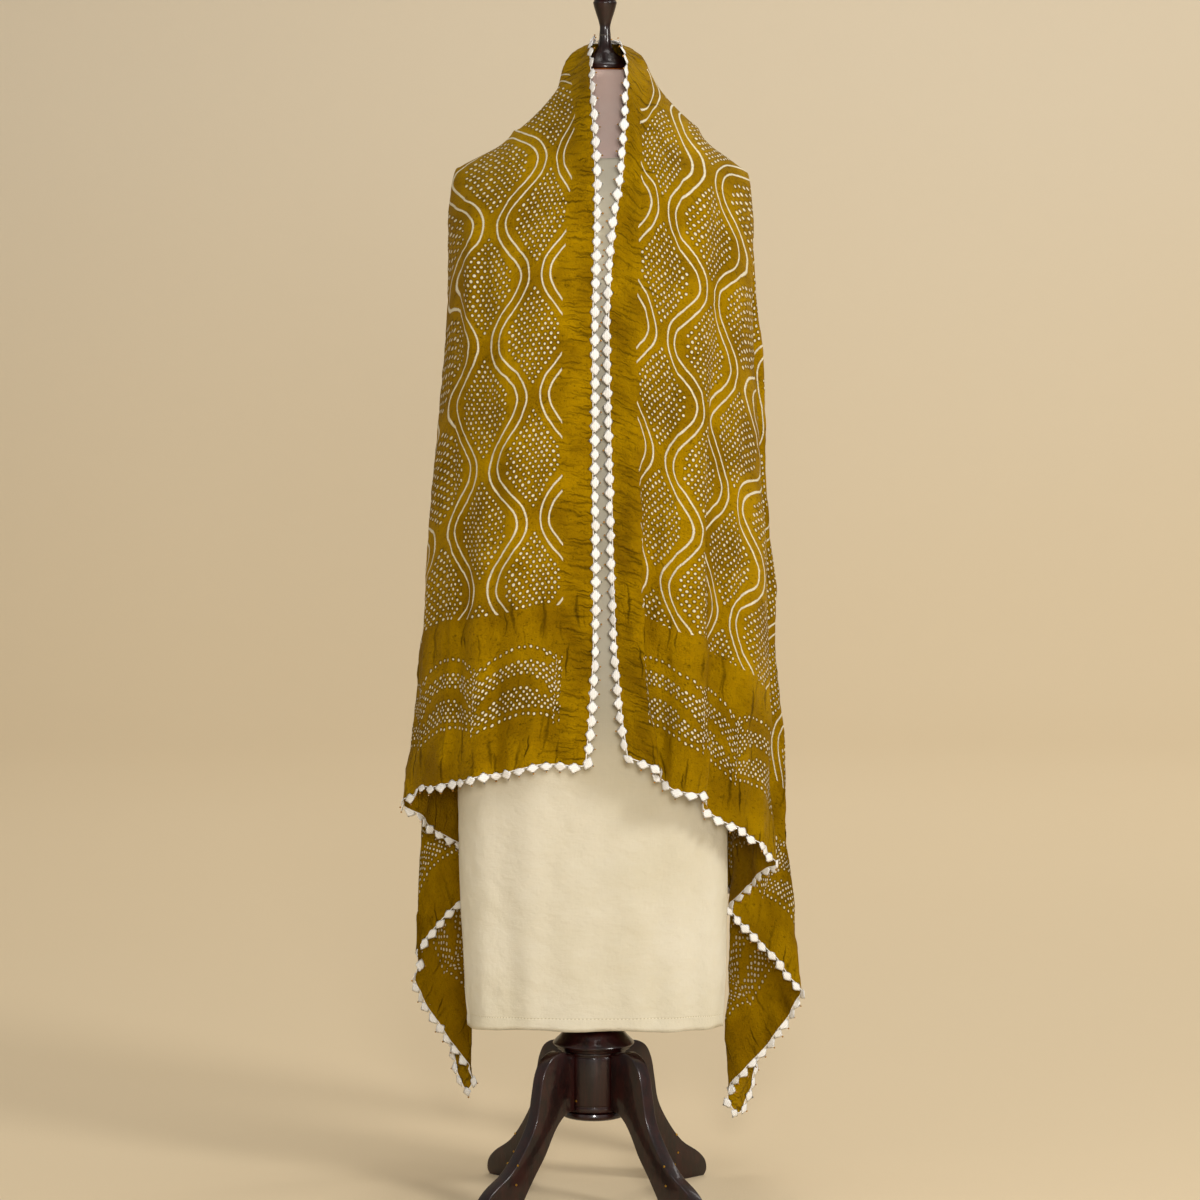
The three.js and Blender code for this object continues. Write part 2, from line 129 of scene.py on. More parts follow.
class Unevenness:
    """Smooth, seeded unevenness over a plane, from -1 to 1."""

    SIZE = 128

    def __init__(self, seed: int) -> None:
        """Draws the lattice that the values are smoothed over."""
        self.lattice = np.random.default_rng(seed).uniform(-1, 1, (self.SIZE, self.SIZE))

    def at(self, x: np.ndarray, y: np.ndarray) -> np.ndarray:
        """The unevenness at x, y, where one step of the lattice is 1."""
        column = np.floor(x).astype(int)
        row = np.floor(y).astype(int)
        fx = x - column
        fy = y - row
        fx = fx * fx * (3 - 2 * fx)
        fy = fy * fy * (3 - 2 * fy)
        size = self.SIZE
        near = self.lattice[column % size, row % size] * (1 - fx)
        near = near + self.lattice[(column + 1) % size, row % size] * fx
        far = self.lattice[column % size, (row + 1) % size] * (1 - fx)
        far = far + self.lattice[(column + 1) % size, (row + 1) % size] * fx
        return near * (1 - fy) + far * fy


# ---------------------------------------------------------------- meshes
def mesh_piece(name: str, points: np.ndarray, faces: Sequence[Sequence[int]]) -> bpy.types.Object:
    """A new object from points in the frame and faces.

    Args:
        name: the piece's name.
        points: its vertices, shape (n, 3).
        faces: vertex numbers of each face.

    Returns:
        The linked object, at the origin.
    """
    mesh = bpy.data.meshes.new(name)
    mesh.from_pydata(points.tolist(), [], faces)
    mesh.update()
    piece = bpy.data.objects.new(name, mesh)
    bpy.context.scene.collection.objects.link(piece)
    return piece


def vertex_values(piece: bpy.types.Object, what: str) -> np.ndarray:
    """The vertices' "co" or "normal" as an array, shape (n, 3)."""
    mesh = piece.data
    values = np.zeros(len(mesh.vertices) * 3)
    if what == "normal":
        mesh.vertex_normals.foreach_get("vector", values)
    else:
        mesh.vertices.foreach_get(what, values)
    return values.reshape(-1, 3)


def move_vertices(piece: bpy.types.Object, points: np.ndarray) -> None:
    """Puts the vertices at new points."""
    piece.data.vertices.foreach_set("co", points.ravel())
    piece.data.update()


def set_uv(piece: bpy.types.Object, flat: np.ndarray, name: str = "cloth") -> None:
    """Gives a mesh a UV map from one (u, v) for each vertex."""
    mesh = piece.data
    layer = mesh.uv_layers.new(name=name)
    corner = np.zeros(len(mesh.loops), dtype=np.int32)
    mesh.loops.foreach_get("vertex_index", corner)
    layer.data.foreach_set("uv", flat[corner].ravel())


def shade_smooth(piece: bpy.types.Object) -> None:
    """Shades every face smooth."""
    piece.data.polygons.foreach_set("use_smooth", np.ones(len(piece.data.polygons), dtype=bool))
    piece.data.update()


def smooth_piece(name: str, points: np.ndarray, faces: Sequence[Sequence[int]],
                 flat: Optional[np.ndarray] = None) -> bpy.types.Object:
    """A smooth mesh piece.

    Args:
        name: the piece's name.
        points: its points, in metres.
        faces: its faces.
        flat: its own flat coordinates, in metres, where it has any.

    Returns:
        The piece.
    """
    piece = mesh_piece(name, points, faces)
    if flat is not None:
        set_uv(piece, flat)
    shade_smooth(piece)
    return piece


def deselect_all() -> None:
    """Leaves nothing selected, so an operator acts only on what comes next."""
    bpy.ops.object.select_all(action="DESELECT")


class Modelling:
    """A new object under edit by operators, started as a primitive shrunk to one vertex."""

    def __init__(self, name: str, start: Triple) -> None:
        """Starts the outline.

        Args:
            name: the piece's name.
            start: the first vertex, in metres in the frame.
        """
        deselect_all()
        bpy.ops.mesh.primitive_plane_add(size=MM, location=start)
        self.piece = bpy.context.object
        self.piece.name = name
        bpy.ops.object.transform_apply(location=True, rotation=True, scale=True)
        bpy.ops.object.mode_set(mode="EDIT")
        bpy.ops.mesh.select_all(action="SELECT")
        bpy.ops.mesh.merge(type="CENTER")
        self.last = Vector(start)

    def extrude_to(self, point: Triple) -> None:
        """Extrudes what is selected to a further point."""
        step = Vector(point) - self.last
        bpy.ops.mesh.extrude_region_move(TRANSFORM_OT_translate={"value": step})
        self.last = Vector(point)

    def extrude_by(self, step: Triple) -> None:
        """Extrudes what is selected by a step."""
        bpy.ops.mesh.extrude_region_move(TRANSFORM_OT_translate={"value": step})

    def spin_round(self, centre: Triple, steps: int) -> None:
        """Spins the outline once round an upright axis and welds it."""
        bpy.ops.mesh.select_all(action="SELECT")
        bpy.ops.mesh.spin(steps=steps, angle=2 * math.pi, center=centre, axis=(0, 0, 1))
        self.weld()

    def fill_outline(self) -> None:
        """Closes the outline and fills it with one face."""
        bpy.ops.mesh.select_all(action="SELECT")
        bpy.ops.mesh.edge_face_add()

    def weld(self) -> None:
        """Merges doubles and turns the faces outwards."""
        bpy.ops.mesh.select_all(action="SELECT")
        bpy.ops.mesh.remove_doubles(threshold=MM / 100)
        bpy.ops.mesh.normals_make_consistent(inside=False)

    def finish(self, bevel: float, segments: int = 2, angle: float = 40) -> bpy.types.Object:
        """Leaves edit mode and rounds the edges.

        Args:
            bevel: width of the rounding in metres, or 0 for none.
            segments: steps of the rounding.
            angle: edges sharper than this, in degrees, are rounded.

        Returns:
            The finished object.
        """
        bpy.ops.object.mode_set(mode="OBJECT")
        if bevel:
            rounding = self.piece.modifiers.new("rounding", "BEVEL")
            rounding.width = bevel
            rounding.segments = segments
            rounding.limit_method = "ANGLE"
            rounding.angle_limit = math.radians(angle)
            bpy.ops.object.modifier_apply(modifier=rounding.name)
        bpy.ops.object.shade_smooth_by_angle(angle=math.radians(35))
        return self.piece


# ---------------------------------------------------------------- shader graphs
class Value:
    """A node's output, open to plain arithmetic."""

    def __init__(self, graph: Graph, socket: Socket) -> None:
        """Wraps an output."""
        self.graph = graph
        self.socket = socket

    def __add__(self, other: Term) -> Value:
        """The sum."""
        return self.graph.math("ADD", self, other)

    def __radd__(self, other: Term) -> Value:
        """The sum, from a plain number."""
        return self.graph.math("ADD", other, self)

    def __sub__(self, other: Term) -> Value:
        """The difference."""
        return self.graph.math("SUBTRACT", self, other)

    def __rsub__(self, other: Term) -> Value:
        """The difference, from a plain number."""
        return self.graph.math("SUBTRACT", other, self)

    def __mul__(self, other: Term) -> Value:
        """The product."""
        return self.graph.math("MULTIPLY", self, other)

    def __truediv__(self, other: Term) -> Value:
        """The quotient."""
        return self.graph.math("DIVIDE", self, other)

    def __rtruediv__(self, other: Term) -> Value:
        """The quotient, from a plain number."""
        return self.graph.math("DIVIDE", other, self)


class Placed:
    """A node whose outputs are read by name."""

    def __init__(self, graph: Graph, node: bpy.types.Node) -> None:
        """Wraps a node."""
        self.graph = graph
        self.node = node

    def __getitem__(self, key: str) -> Value:
        """One of its outputs."""
        return self.graph.out(self.node, key)


class Surface(Placed):
    """A material's Principled surface."""

    def set(self, **terms: Union[Term, Sequence[float]]) -> None:
        """Feeds inputs by name, an underscore for each blank."""
        for key, term in terms.items():
            self.graph.feed(self.node.inputs[key.replace("_", " ")], term)


class Graph:
    """Short ways to add nodes to a material's or a group's tree."""

    def __init__(self, tree: bpy.types.NodeTree) -> None:
        """Works on one tree."""
        self.tree = tree

    def add(self, kind: str, **settings: object) -> bpy.types.Node:
        """Adds a node and sets its settings by name."""
        node = self.tree.nodes.new(kind)
        for key, value in settings.items():
            setattr(node, key, value)
        return node

    def out(self, node: bpy.types.Node, key: Union[str, int]) -> Value:
        """One output of a node."""
        return Value(self, node.outputs[key])

    def feed(self, target: Socket, term: Union[Term, Sequence[float]]) -> None:
        """Links a socket, or sets its plain value."""
        if isinstance(term, Value):
            self.tree.links.new(term.socket, target)
        else:
            target.default_value = term

    def math(self, operation: str, a: Term, b: Term = 0.0, c: Term = 0.0) -> Value:
        """One Math node."""
        node = self.add("ShaderNodeMath", operation=operation)
        for target, term in zip(node.inputs, (a, b, c)):
            self.feed(target, term)
        return self.out(node, 0)

    def above(self, a: Term, b: Term) -> Value:
        """1 where a is greater than b, else 0."""
        return self.math("GREATER_THAN", a, b)

    def most(self, *terms: Term) -> Value:
        """The greatest of several terms."""
        result = terms[0]
        for term in terms[1:]:
            result = self.math("MAXIMUM", result, term)
        return result

    def ramp(self, low: float, high: float, value: Term) -> Value:
        """A smooth step from 0 at low to 1 at high."""
        node = self.add("ShaderNodeMapRange", interpolation_type="SMOOTHSTEP")
        self.feed(node.inputs["Value"], value)
        node.inputs["From Min"].default_value = low
        node.inputs["From Max"].default_value = high
        return self.out(node, "Result")

    def place(self, x: Term, y: Term, z: Term = 0.0) -> Value:
        """A vector from its parts."""
        node = self.add("ShaderNodeCombineXYZ")
        for target, term in zip(node.inputs, (x, y, z)):
            self.feed(target, term)
        return self.out(node, 0)

    def parts(self, vector: Value) -> tuple[Value, Value, Value]:
        """A vector's parts."""
        node = self.add("ShaderNodeSeparateXYZ")
        self.feed(node.inputs[0], vector)
        return self.out(node, 0), self.out(node, 1), self.out(node, 2)

    def noise(self, where: Value, scale: float, detail: float = 2.0, rough: float = 0.5) -> Value:
        """A noise from 0 to 1, centred near a half."""
        node = self.add("ShaderNodeTexNoise")
        self.feed(node.inputs["Vector"], where)
        node.inputs["Scale"].default_value = scale
        node.inputs["Detail"].default_value = detail
        node.inputs["Roughness"].default_value = rough
        return self.out(node, "Fac")

    def white(self, where: Value) -> Value:
        """A random colour for each place."""
        node = self.add("ShaderNodeTexWhiteNoise", noise_dimensions="3D")
        self.feed(node.inputs["Vector"], where)
        return self.out(node, "Color")

    def blend(self, share: Term, first: object, second: object) -> Value:
        """A mix of two colours."""
        node = self.add("ShaderNodeMix", data_type="RGBA", blend_type="MIX")
        self.feed(node.inputs["Factor"], share)
        self.feed(node.inputs["A"], first)
        self.feed(node.inputs["B"], second)
        return self.out(node, "Result")

    def bump(self, height: Value, distance: float) -> Value:
        """A normal bumped by a height; a height of 1 stands for distance metres."""
        node = self.add("ShaderNodeBump")
        node.inputs["Strength"].default_value = 1.0
        node.inputs["Distance"].default_value = distance
        self.feed(node.inputs["Height"], height)
        return self.out(node, "Normal")


def new_group(name: str, inputs: Sequence[str],
              outputs: Sequence[str]) -> tuple[Graph, Placed, bpy.types.Node]:
    """A shader node group with float sockets.

    Args:
        name: the group's name.
        inputs: names of its float inputs; one called "Place" is a vector.
        outputs: names of its float outputs.

    Returns:
        Its graph, its input node and its output node.
    """
    tree = bpy.data.node_groups.new(name, "ShaderNodeTree")
    for key in inputs:
        kind = "NodeSocketVector" if key == "Place" else "NodeSocketFloat"
        tree.interface.new_socket(key, in_out="INPUT", socket_type=kind)
    for key in outputs:
        tree.interface.new_socket(key, in_out="OUTPUT", socket_type="NodeSocketFloat")
    graph = Graph(tree)
    given = Placed(graph, graph.add("NodeGroupInput"))
    return graph, given, graph.add("NodeGroupOutput")


def weave_group() -> bpy.types.NodeTree:
    """Plain weave: thread ridges over and under, with slubs, as a height and a tone from 0 to 1."""
    graph, given, result = new_group("PlainWeave", ["Along", "Across", "Pitch"], ["Height", "Tone"])
    turn = 2 * math.pi / given["Pitch"]
    warp = graph.math("SINE", given["Along"] * turn)
    weft = graph.math("SINE", given["Across"] * turn)
    over = warp * weft
    where = graph.place(given["Along"], given["Across"])
    long_slub = graph.noise(graph.place(given["Along"] * 0.05, given["Across"]), 0.9, 3.0)
    cross_slub = graph.noise(graph.place(given["Along"], given["Across"] * 0.05), 0.9, 3.0)
    slub = long_slub + cross_slub
    fuzz = graph.noise(where, 2.5, 3.0, 0.7)
    height = over * 0.25 + slub * 0.5
    graph.feed(result.inputs["Height"], height + fuzz * 0.3)
    tone = slub * 0.4 + fuzz * 0.2
    graph.feed(result.inputs["Tone"], tone)
    return graph.tree


def drift_group() -> bpy.types.NodeTree:
    """Soft, large patches of tone, as dye or age leaves them, from 0 to 1."""
    graph, given, result = new_group("ToneDrift", ["Place", "Scale"], ["Tone"])
    large = graph.add("ShaderNodeTexNoise")
    graph.feed(large.inputs["Vector"], given["Place"])
    graph.feed(large.inputs["Scale"], given["Scale"])
    large.inputs["Detail"].default_value = 4.0
    graph.feed(result.inputs["Tone"], graph.ramp(0.3, 0.7, graph.out(large, "Fac")))
    return graph.tree


def use_group(graph: Graph, tree: bpy.types.NodeTree, **inputs: Term) -> Placed:
    """Places a group and feeds its inputs by name."""
    node = graph.add("ShaderNodeGroup", node_tree=tree)
    for key, term in inputs.items():
        graph.feed(node.inputs[key], term)
    return Placed(graph, node)


class SharedEffects:
    """The node groups that several finishes use, built once."""

    def __init__(self) -> None:
        """Builds the groups."""
        self.weave = weave_group()
        self.drift = drift_group()


# ---------------------------------------------------------------- finishes
def new_material(name: str) -> tuple[bpy.types.Material, Graph, Surface]:
    """A material with an empty Principled surface.

    Args:
        name: the material's name.

    Returns:
        The material, its graph and its surface.
    """
    material = bpy.data.materials.new(name)
    material.use_nodes = True
    material.node_tree.nodes.clear()
    graph = Graph(material.node_tree)
    surface = Surface(graph, graph.add("ShaderNodeBsdfPrincipled"))
    output = graph.add("ShaderNodeOutputMaterial")
    graph.feed(output.inputs["Surface"], surface["BSDF"])
    return material, graph, surface


def object_place(graph: Graph) -> Value:
    """Object coordinates, in metres."""
    return graph.out(graph.add("ShaderNodeTexCoord"), "Object")


def flat_place(graph: Graph, name: str = "cloth") -> tuple[Value, Value]:
    """A piece's own flat coordinates, in millimetres, along and across."""
    node = graph.add("ShaderNodeUVMap", uv_map=name)
    along, across, _ = graph.parts(graph.out(node, "UV"))
    return along * 1000.0, across * 1000.0


Colour = tuple[float, float, float, float]


def colour(code: str) -> Colour:
    """A linear colour from an sRGB code of six hexadecimal digits."""
    parts = [int(code[k:k + 2], 16) / 255 for k in (0, 2, 4)]
    linear = [p / 12.92 if p <= 0.04045 else ((p + 0.055) / 1.055) ** 2.4 for p in parts]
    return (linear[0], linear[1], linear[2], 1.0)


@dataclass(frozen=True)
class BandhaniPlan:
    """The tie-dyed layout on the flat cloth, in millimetres."""

    half_length: float = 1040.0  # from the middle to a short end
    width: float = 920.0
    plain_edge: float = 40.0  # plain strip along each long edge
    first_pair: float = 43.5  # from a long edge to the first pair of wavy lines
    pairs: int = 13
    wave_reach: float = 20.0
    wave_length: float = 164.0
    wave_turn: float = math.pi / 2 + 0.42
    line_half_gap: float = 6.0
    line_half_width: float = 1.15
    dot_steps: tuple[float, float] = (8.2, 12.6)
    dot_radius: float = 1.5
    field_start: float = 215.0  # from a short end to the field
    sway_along: float = 7.0  # how far the marks wander
    sway_across: float = 6.0
    ragged: float = 5.0  # waver of the field's edges
    knot: float = 1.1  # unevenness of a line's width
    border_start: float = 60.0
    border_end: float = 166.0
    unit: float = 104.0  # one unit of the end borders
    row_step: float = 9.2
    column_step: float = 8.0

    @property
    def pitch(self) -> float:
        """From one pair of wavy lines to the next."""
        return (self.width - 2 * self.first_pair) / (self.pairs - 1)


class BandhaniMarks:
    """Builds the node group of the tied dots and lines: a mask and a height, from 0 to 1."""

    # Plain leaves of the end border: foot, climb to the middle and half thickness, in mm.
    LEAVES: tuple[Triple, ...] = ((4.6, 0.0, 3.0), (24.0, 18.0, 8.2), (72.0, 2.0, 8.0))

    def __init__(self, plan: BandhaniPlan) -> None:
        """Builds the group."""
        self.plan = plan
        self.graph, given, result = new_group("BandhaniMarks", ["Along", "Across"],
                                              ["Mask", "Height"])
        g = self.graph
        along = given["Along"]
        across = given["Across"]
        rough = g.place(along * (1 / 48), across * (1 / 38))
        drift = g.add("ShaderNodeTexNoise")
        g.feed(drift.inputs["Vector"], rough)
        drift.inputs["Scale"].default_value = 1.0
        shift, shift_2, _ = g.parts(g.out(drift, "Color"))
        self.along = along + (shift - 0.5) * plan.sway_along
        self.across = across + (shift_2 - 0.5) * plan.sway_across
        from_end = plan.half_length - g.math("ABSOLUTE", along)
        edge = g.math("MINIMUM", across, plan.width - across)
        ragged = (g.noise(g.place(along, across), 0.12, 1.0) - 0.5) * plan.ragged
        inside = g.above(edge + ragged, plan.plain_edge)
        in_field = inside * g.above(from_end + ragged, plan.field_start)
        lines = self.wavy_lines()
        dots, tied = self.field_dots()
        border, border_tied = self.border_dots(from_end)
        mask = in_field * g.most(lines, dots)
        mask = g.most(mask, inside * border)
        height = in_field * g.most(lines * 0.7, tied)
        height = g.most(height, inside * border_tied)
        g.feed(result.inputs["Mask"], mask)
        g.feed(result.inputs["Height"], height)
        self.tree = g.tree

    def turn_of(self, index: Value) -> Value:
        """The wave's turn in radians for a pair or a gap with that number."""
        g = self.graph
        wave = self.along * (2 * math.pi / self.plan.wave_length)
        return wave + self.plan.wave_turn + index * math.pi

    def wavy_lines(self) -> Value:
        """The pairs of wavy lines, neighbours half a wave out of step."""
        g = self.graph
        plan = self.plan
        place = (self.across - plan.first_pair) / plan.pitch
        index = g.math("ROUND", place)
        index = g.math("MAXIMUM", g.math("MINIMUM", index, plan.pairs - 1.0), 0.0)
        turn = self.turn_of(index)
        centre = index * plan.pitch + plan.first_pair
        centre = centre + g.math("COSINE", turn) * plan.wave_reach
        slope = g.math("SINE", turn) * (plan.wave_reach * 2 * math.pi / plan.wave_length)
        lean = g.math("SQRT", slope * slope + 1.0)
        distance = g.math("ABSOLUTE", self.across - centre) / lean
        off = g.math("ABSOLUTE", distance - plan.line_half_gap)
        knots = g.noise(g.place(self.along * 1.0, index), 0.55, 2.0)
        half = plan.line_half_width - plan.knot / 2 + knots * plan.knot
        return g.ramp(-0.4, 0.4, half - off)

    def dot_lattice(self, x: Value, y: Value, steps: tuple[float, float], offset: float,
                    allowed: Callable[[Value, Value], Value], number: Value,
                    radius: float) -> tuple[Value, Value]:
        """Dots on one rectangular lattice.

        Args:
            x: place across, in millimetres.
            y: place along, in millimetres.
            steps: the lattice's steps.
            offset: share of a step by which the lattice is moved, 0 or a half.
            allowed: gives 1 where a dot with that centre is tied.
            number: changes the dots' unevenness from one group of dots to another.
            radius: the dots' mean radius.

        Returns:
            The mask of the dots and the height of the cloth drawn up round them.
        """
        g = self.graph
        centres = []
        for value, step in ((x, steps[0]), (y, steps[1])):
            cell = g.math("ROUND", value / step - offset)
            centres.append((cell + offset) * step)
        kept = allowed(centres[0], centres[1])
        random = g.white(g.place(centres[0] * 1.37, centres[1] * 0.73, number))
        shake_x, shake_y, size = g.parts(random)
        dx = x - centres[0] - (shake_x - 0.5) * 1.5
        dy = y - centres[1] - (shake_y - 0.5) * 1.7
        dy = dy * 0.88
        distance = g.math("SQRT", dx * dx + dy * dy)
        reach = (0.78 + size * 0.42) * radius
        dots = kept * g.ramp(-0.35, 0.45, reach - distance)
        tied = kept * g.ramp(4.0, 0.3, distance)
        return dots, tied

    def field_dots(self) -> tuple[Value, Value]:
        """The diamonds of dots between the wavy pairs."""
        g = self.graph
        plan = self.plan
        place = (self.across - plan.first_pair) / plan.pitch
        index = g.math("FLOOR", place)
        x = self.across - plan.first_pair - (index + 0.5) * plan.pitch
        turns = self.turn_of(index) / (2 * math.pi)
        which = g.math("FLOOR", turns)
        y = (turns - which - 0.5) * plan.wave_length
        number = index * 17.3 + which * 5.7
        inner = plan.pitch / 2 - plan.line_half_gap - 10.5

        def allowed(dot_x: Value, dot_y: Value) -> Value:
            """Whether a dot's centre is in the diamond."""
            swell = g.math("COSINE", dot_y * (2 * math.pi / plan.wave_length))
            half = swell * plan.wave_reach + inner
            between = g.above(index, -0.5) * g.above(plan.pairs - 1.5, index)
            return between * g.above(half, g.math("ABSOLUTE", dot_x))

        first = self.dot_lattice(x, y, plan.dot_steps, 0.0, allowed, number, plan.dot_radius)
        second = self.dot_lattice(x, y, plan.dot_steps, 0.5, allowed, number, plan.dot_radius)
        return g.most(first[0], second[0]), g.most(first[1], second[1])

    def border_dots(self, from_end: Value) -> tuple[Value, Value]:
        """The nested arches of dots across each end."""
        g = self.graph
        plan = self.plan
        row = plan.row_step
        place = (self.across - (plan.first_pair + 4.0)) / plan.unit
        index = g.math("FLOOR", place)
        share = place - index

        def arch_at(value: Value) -> Value:
            """The arch's rise from 0 to 1 at a share of the unit."""
            bend = value * 2.0 - 1.0
            return 1.0 - bend * bend

        arch = arch_at(share)
        low = from_end - plan.border_start
        layered = low * (1.0 - arch * 0.095) - arch * 11.0
        layered = layered + (share - 0.5) * 6.0

        def allowed(dot_x: Value, dot_y: Value) -> Value:
            """Whether a dot is in one of the arch's bands, outside its plain leaves."""
            rise = g.math("MAXIMUM", arch_at(dot_x / plan.unit), 0.0)
            result = g.above(dot_y, -row * 0.3) * g.above(row * 9.3, dot_y)
            for foot, climb, half in self.LEAVES:
                centre = foot + rise * climb
                off = g.math("ABSOLUTE", dot_y - centre)
                result = result * g.above(off, g.math("SQRT", rise) * half)
            return result

        x = share * plan.unit
        steps = (plan.column_step, row)
        number = index * 3.7 + 0.5
        radius = plan.dot_radius * 0.95
        first = self.dot_lattice(x, layered, steps, 0.0, allowed, number, radius)
        second = self.dot_lattice(x, layered, steps, 0.5, allowed, number, radius)
        within = g.above(from_end, plan.border_start - 8) * g.above(plan.border_end + 6, from_end)
        dots = within * g.most(first[0], second[0])
        tied = within * g.most(first[1], second[1])
        return dots, tied


@dataclass(frozen=True)
class Strokes:
    """One set of tapered creases, a crease in each cell, in millimetres."""

    cell: float
    middle: tuple[float, float]  # where their middles lie along the creases
    reach: float  # half the length of the longest
    width: float
    lean: float
    seed: float


def crease_strokes(g: Graph, beside: Value, along: Value, strokes: Strokes) -> Value:
    """Tapered creases as a depth from 0 to 1.

    Args:
        g: the graph to build in.
        beside: place across the creases, in millimetres.
        along: place along the creases, in millimetres.
        strokes: their sizes.

    Returns:
        The depth.
    """
    index = g.math("FLOOR", beside / strokes.cell)
    first = g.white(g.place(index, strokes.seed, 0.5))
    second = g.white(g.place(index, strokes.seed, 9.5))
    at, shift, reach = g.parts(first)
    lean, depth, bend = g.parts(second)
    centre = (index + (0.28 + at * 0.44)) * strokes.cell
    low, high = strokes.middle
    off = along - (low + shift * (high - low))
    part = off / ((0.4 + reach * 0.6) * strokes.reach)
    taper = g.math("MAXIMUM", 1.0 - part * part, 0.0)
    centre = centre + (lean - 0.5) * strokes.lean * off
    curve = (bend - 0.5) * (strokes.cell * 0.3)
    centre = centre + curve * (part * part)
    distance = g.math("ABSOLUTE", beside - centre)
    near = distance / (taper * strokes.width + 0.05)
    strength = g.math("POWER", depth, 1.6)
    return g.ramp(1.0, 0.0, near) * taper * (0.12 + strength * 0.88)


PLEATS: tuple[Strokes, ...] = (
    Strokes(5.3, (0, 36), 20, 1.4, 0.12, 1.5), Strokes(9.7, (0, 44), 28, 2.3, 0.22, 2.5),
    Strokes(17.3, (6, 50), 38, 2.9, 0.40, 3.5),
)
END_CREASES: tuple[Strokes, ...] = (
    Strokes(23.0, (0, 56), 34, 2.2, 0.26, 4.5), Strokes(37.0, (0, 60), 46, 3.6, 0.40, 5.5),
    Strokes(26.0, (172, 212), 28, 2.2, 0.26, 6.5), Strokes(41.0, (168, 216), 42, 3.6, 0.40, 7.5),
    Strokes(61.0, (80, 160), 46, 2.6, 0.26, 8.5),
)


def crease_group(plan: BandhaniPlan) -> bpy.types.NodeTree:
    """Pleats drawn up along the long edges and sharp creases down the ends, as depths from 0 to 1."""
    g, given, result = new_group("ClothCreases", ["Along", "Across"], ["Pleat", "Crease", "Crush"])
    along = given["Along"]
    across = given["Across"]
    edge = g.math("MINIMUM", across, plan.width - across)
    from_end = plan.half_length - g.math("ABSOLUTE", along)
    wander = g.noise(g.place(along * 0.06, across * 0.09), 1.0, 2.0)
    wander = (wander - 0.5) * 9.0
    waved_along = along + wander
    waved_across = across + wander
    pleat = g.most(*(crease_strokes(g, waved_along, edge, strokes) for strokes in PLEATS))
    g.feed(result.inputs["Pleat"], pleat)
    crease = g.most(*(crease_strokes(g, waved_across, from_end, strokes) for strokes in END_CREASES))
    g.feed(result.inputs["Crease"], crease)
    slanted = g.place(along * 0.11 + across * 0.04, across * 0.075 - along * 0.02)
    coarse = g.noise(slanted, 1.0, 3.0, 0.6)
    coarse = 1.0 - g.math("ABSOLUTE", coarse * 2.0 - 1.0)
    sharp = g.noise(g.place(along * 0.3, across * 0.22), 1.0, 3.0, 0.65)
    sharp = 1.0 - g.math("ABSOLUTE", sharp * 2.0 - 1.0)
    g.feed(result.inputs["Crush"], coarse * 0.5 + sharp * 0.5)
    return g.tree


@dataclass(frozen=True)
class BandhaniFinish:
    """Fine tie-dyed cotton with a slight lustre, with painted shade round the tied dots, in creases,
    pleats and crinkles, and towards the short ends.
    """

    plan: BandhaniPlan
    deep: str = "825E00"
    bright: str = "B88E00"
    painted_shade: str = "2E1E00"
    undyed: str = "F5ECCF"
    glint: str = "F0C850"
    sheen: str = "D8A800"
    drift: float = 0.75  # shares of the bright dye, by large patches and by the weave
    weave: float = 0.4
    tied: float = 0.78  # depths of painted shade, from here to crush: round the tied dots, in creases and pleats, towards the short ends and in the crinkles
    crease: float = 0.85
    pleat: float = 0.66
    ends: float = 0.13
    crush: float = 0.7
    relief: float = 0.0017  # metres for a height of 1

    def material(self, shared: SharedEffects) -> bpy.types.Material:
        """Builds the material on the cloth's own flat coordinates."""
        material, g, surface = new_material("bandhani_cotton")
        along, across = flat_place(g)
        marks = use_group(g, BandhaniMarks(self.plan).tree, Along=along, Across=across)
        creases = use_group(g, crease_group(self.plan), Along=along, Across=across)
        weave = use_group(g, shared.weave, Along=along, Across=across, Pitch=0.75)
        place = g.place(along * 0.001, across * 0.001)
        drift = use_group(g, shared.drift, Place=place, Scale=14.0)
        dye = g.blend(drift["Tone"] * self.drift + weave["Tone"] * self.weave, colour(self.deep),
                      colour(self.bright))
        # painted shade round each tied dot, where the cloth is drawn up into a pucker
        tied = marks["Height"] * (1.0 - marks["Mask"])
        dye = g.blend(tied * self.tied, dye, colour(self.painted_shade))
        # painted shade in the creases down the ends and in the pleats along the long edges
        dye = g.blend(creases["Crease"] * self.crease, dye, colour(self.painted_shade))
        dye = g.blend(creases["Pleat"] * self.pleat, dye, colour(self.painted_shade))
        # painted shade: darker towards the short ends
        from_end = self.plan.half_length - g.math("ABSOLUTE", along)
        dye = g.blend(g.ramp(240.0, 130.0, from_end) * self.ends, dye, colour(self.painted_shade))
        # painted shade in the troughs of the crinkles
        crush = g.ramp(0.90, 0.56, creases["Crush"])
        dye = g.blend(crush * self.crush, dye, colour(self.painted_shade))
        base = g.blend(marks["Mask"], dye, colour(self.undyed))
        behind = g.out(g.add("ShaderNodeNewGeometry"), "Backfacing")
        dull = g.blend(0.35, base, colour(self.deep))
        surface.set(Base_Color=g.blend(behind, base, dull))
        surface.set(Roughness=0.58 + weave["Tone"] * 0.16)
        surface.set(Specular_IOR_Level=0.18, Specular_Tint=colour(self.glint), Sheen_Weight=0.06,
                    Sheen_Roughness=0.4, Sheen_Tint=colour(self.sheen))
        height = marks["Height"] * 0.9 + creases["Crush"] * 4.2
        height = height - creases["Pleat"] * 1.5
        height = height - creases["Crease"] * 1.8
        height = height + weave["Height"] * 0.1
        surface.set(Normal=g.bump(height, self.relief))
        return material


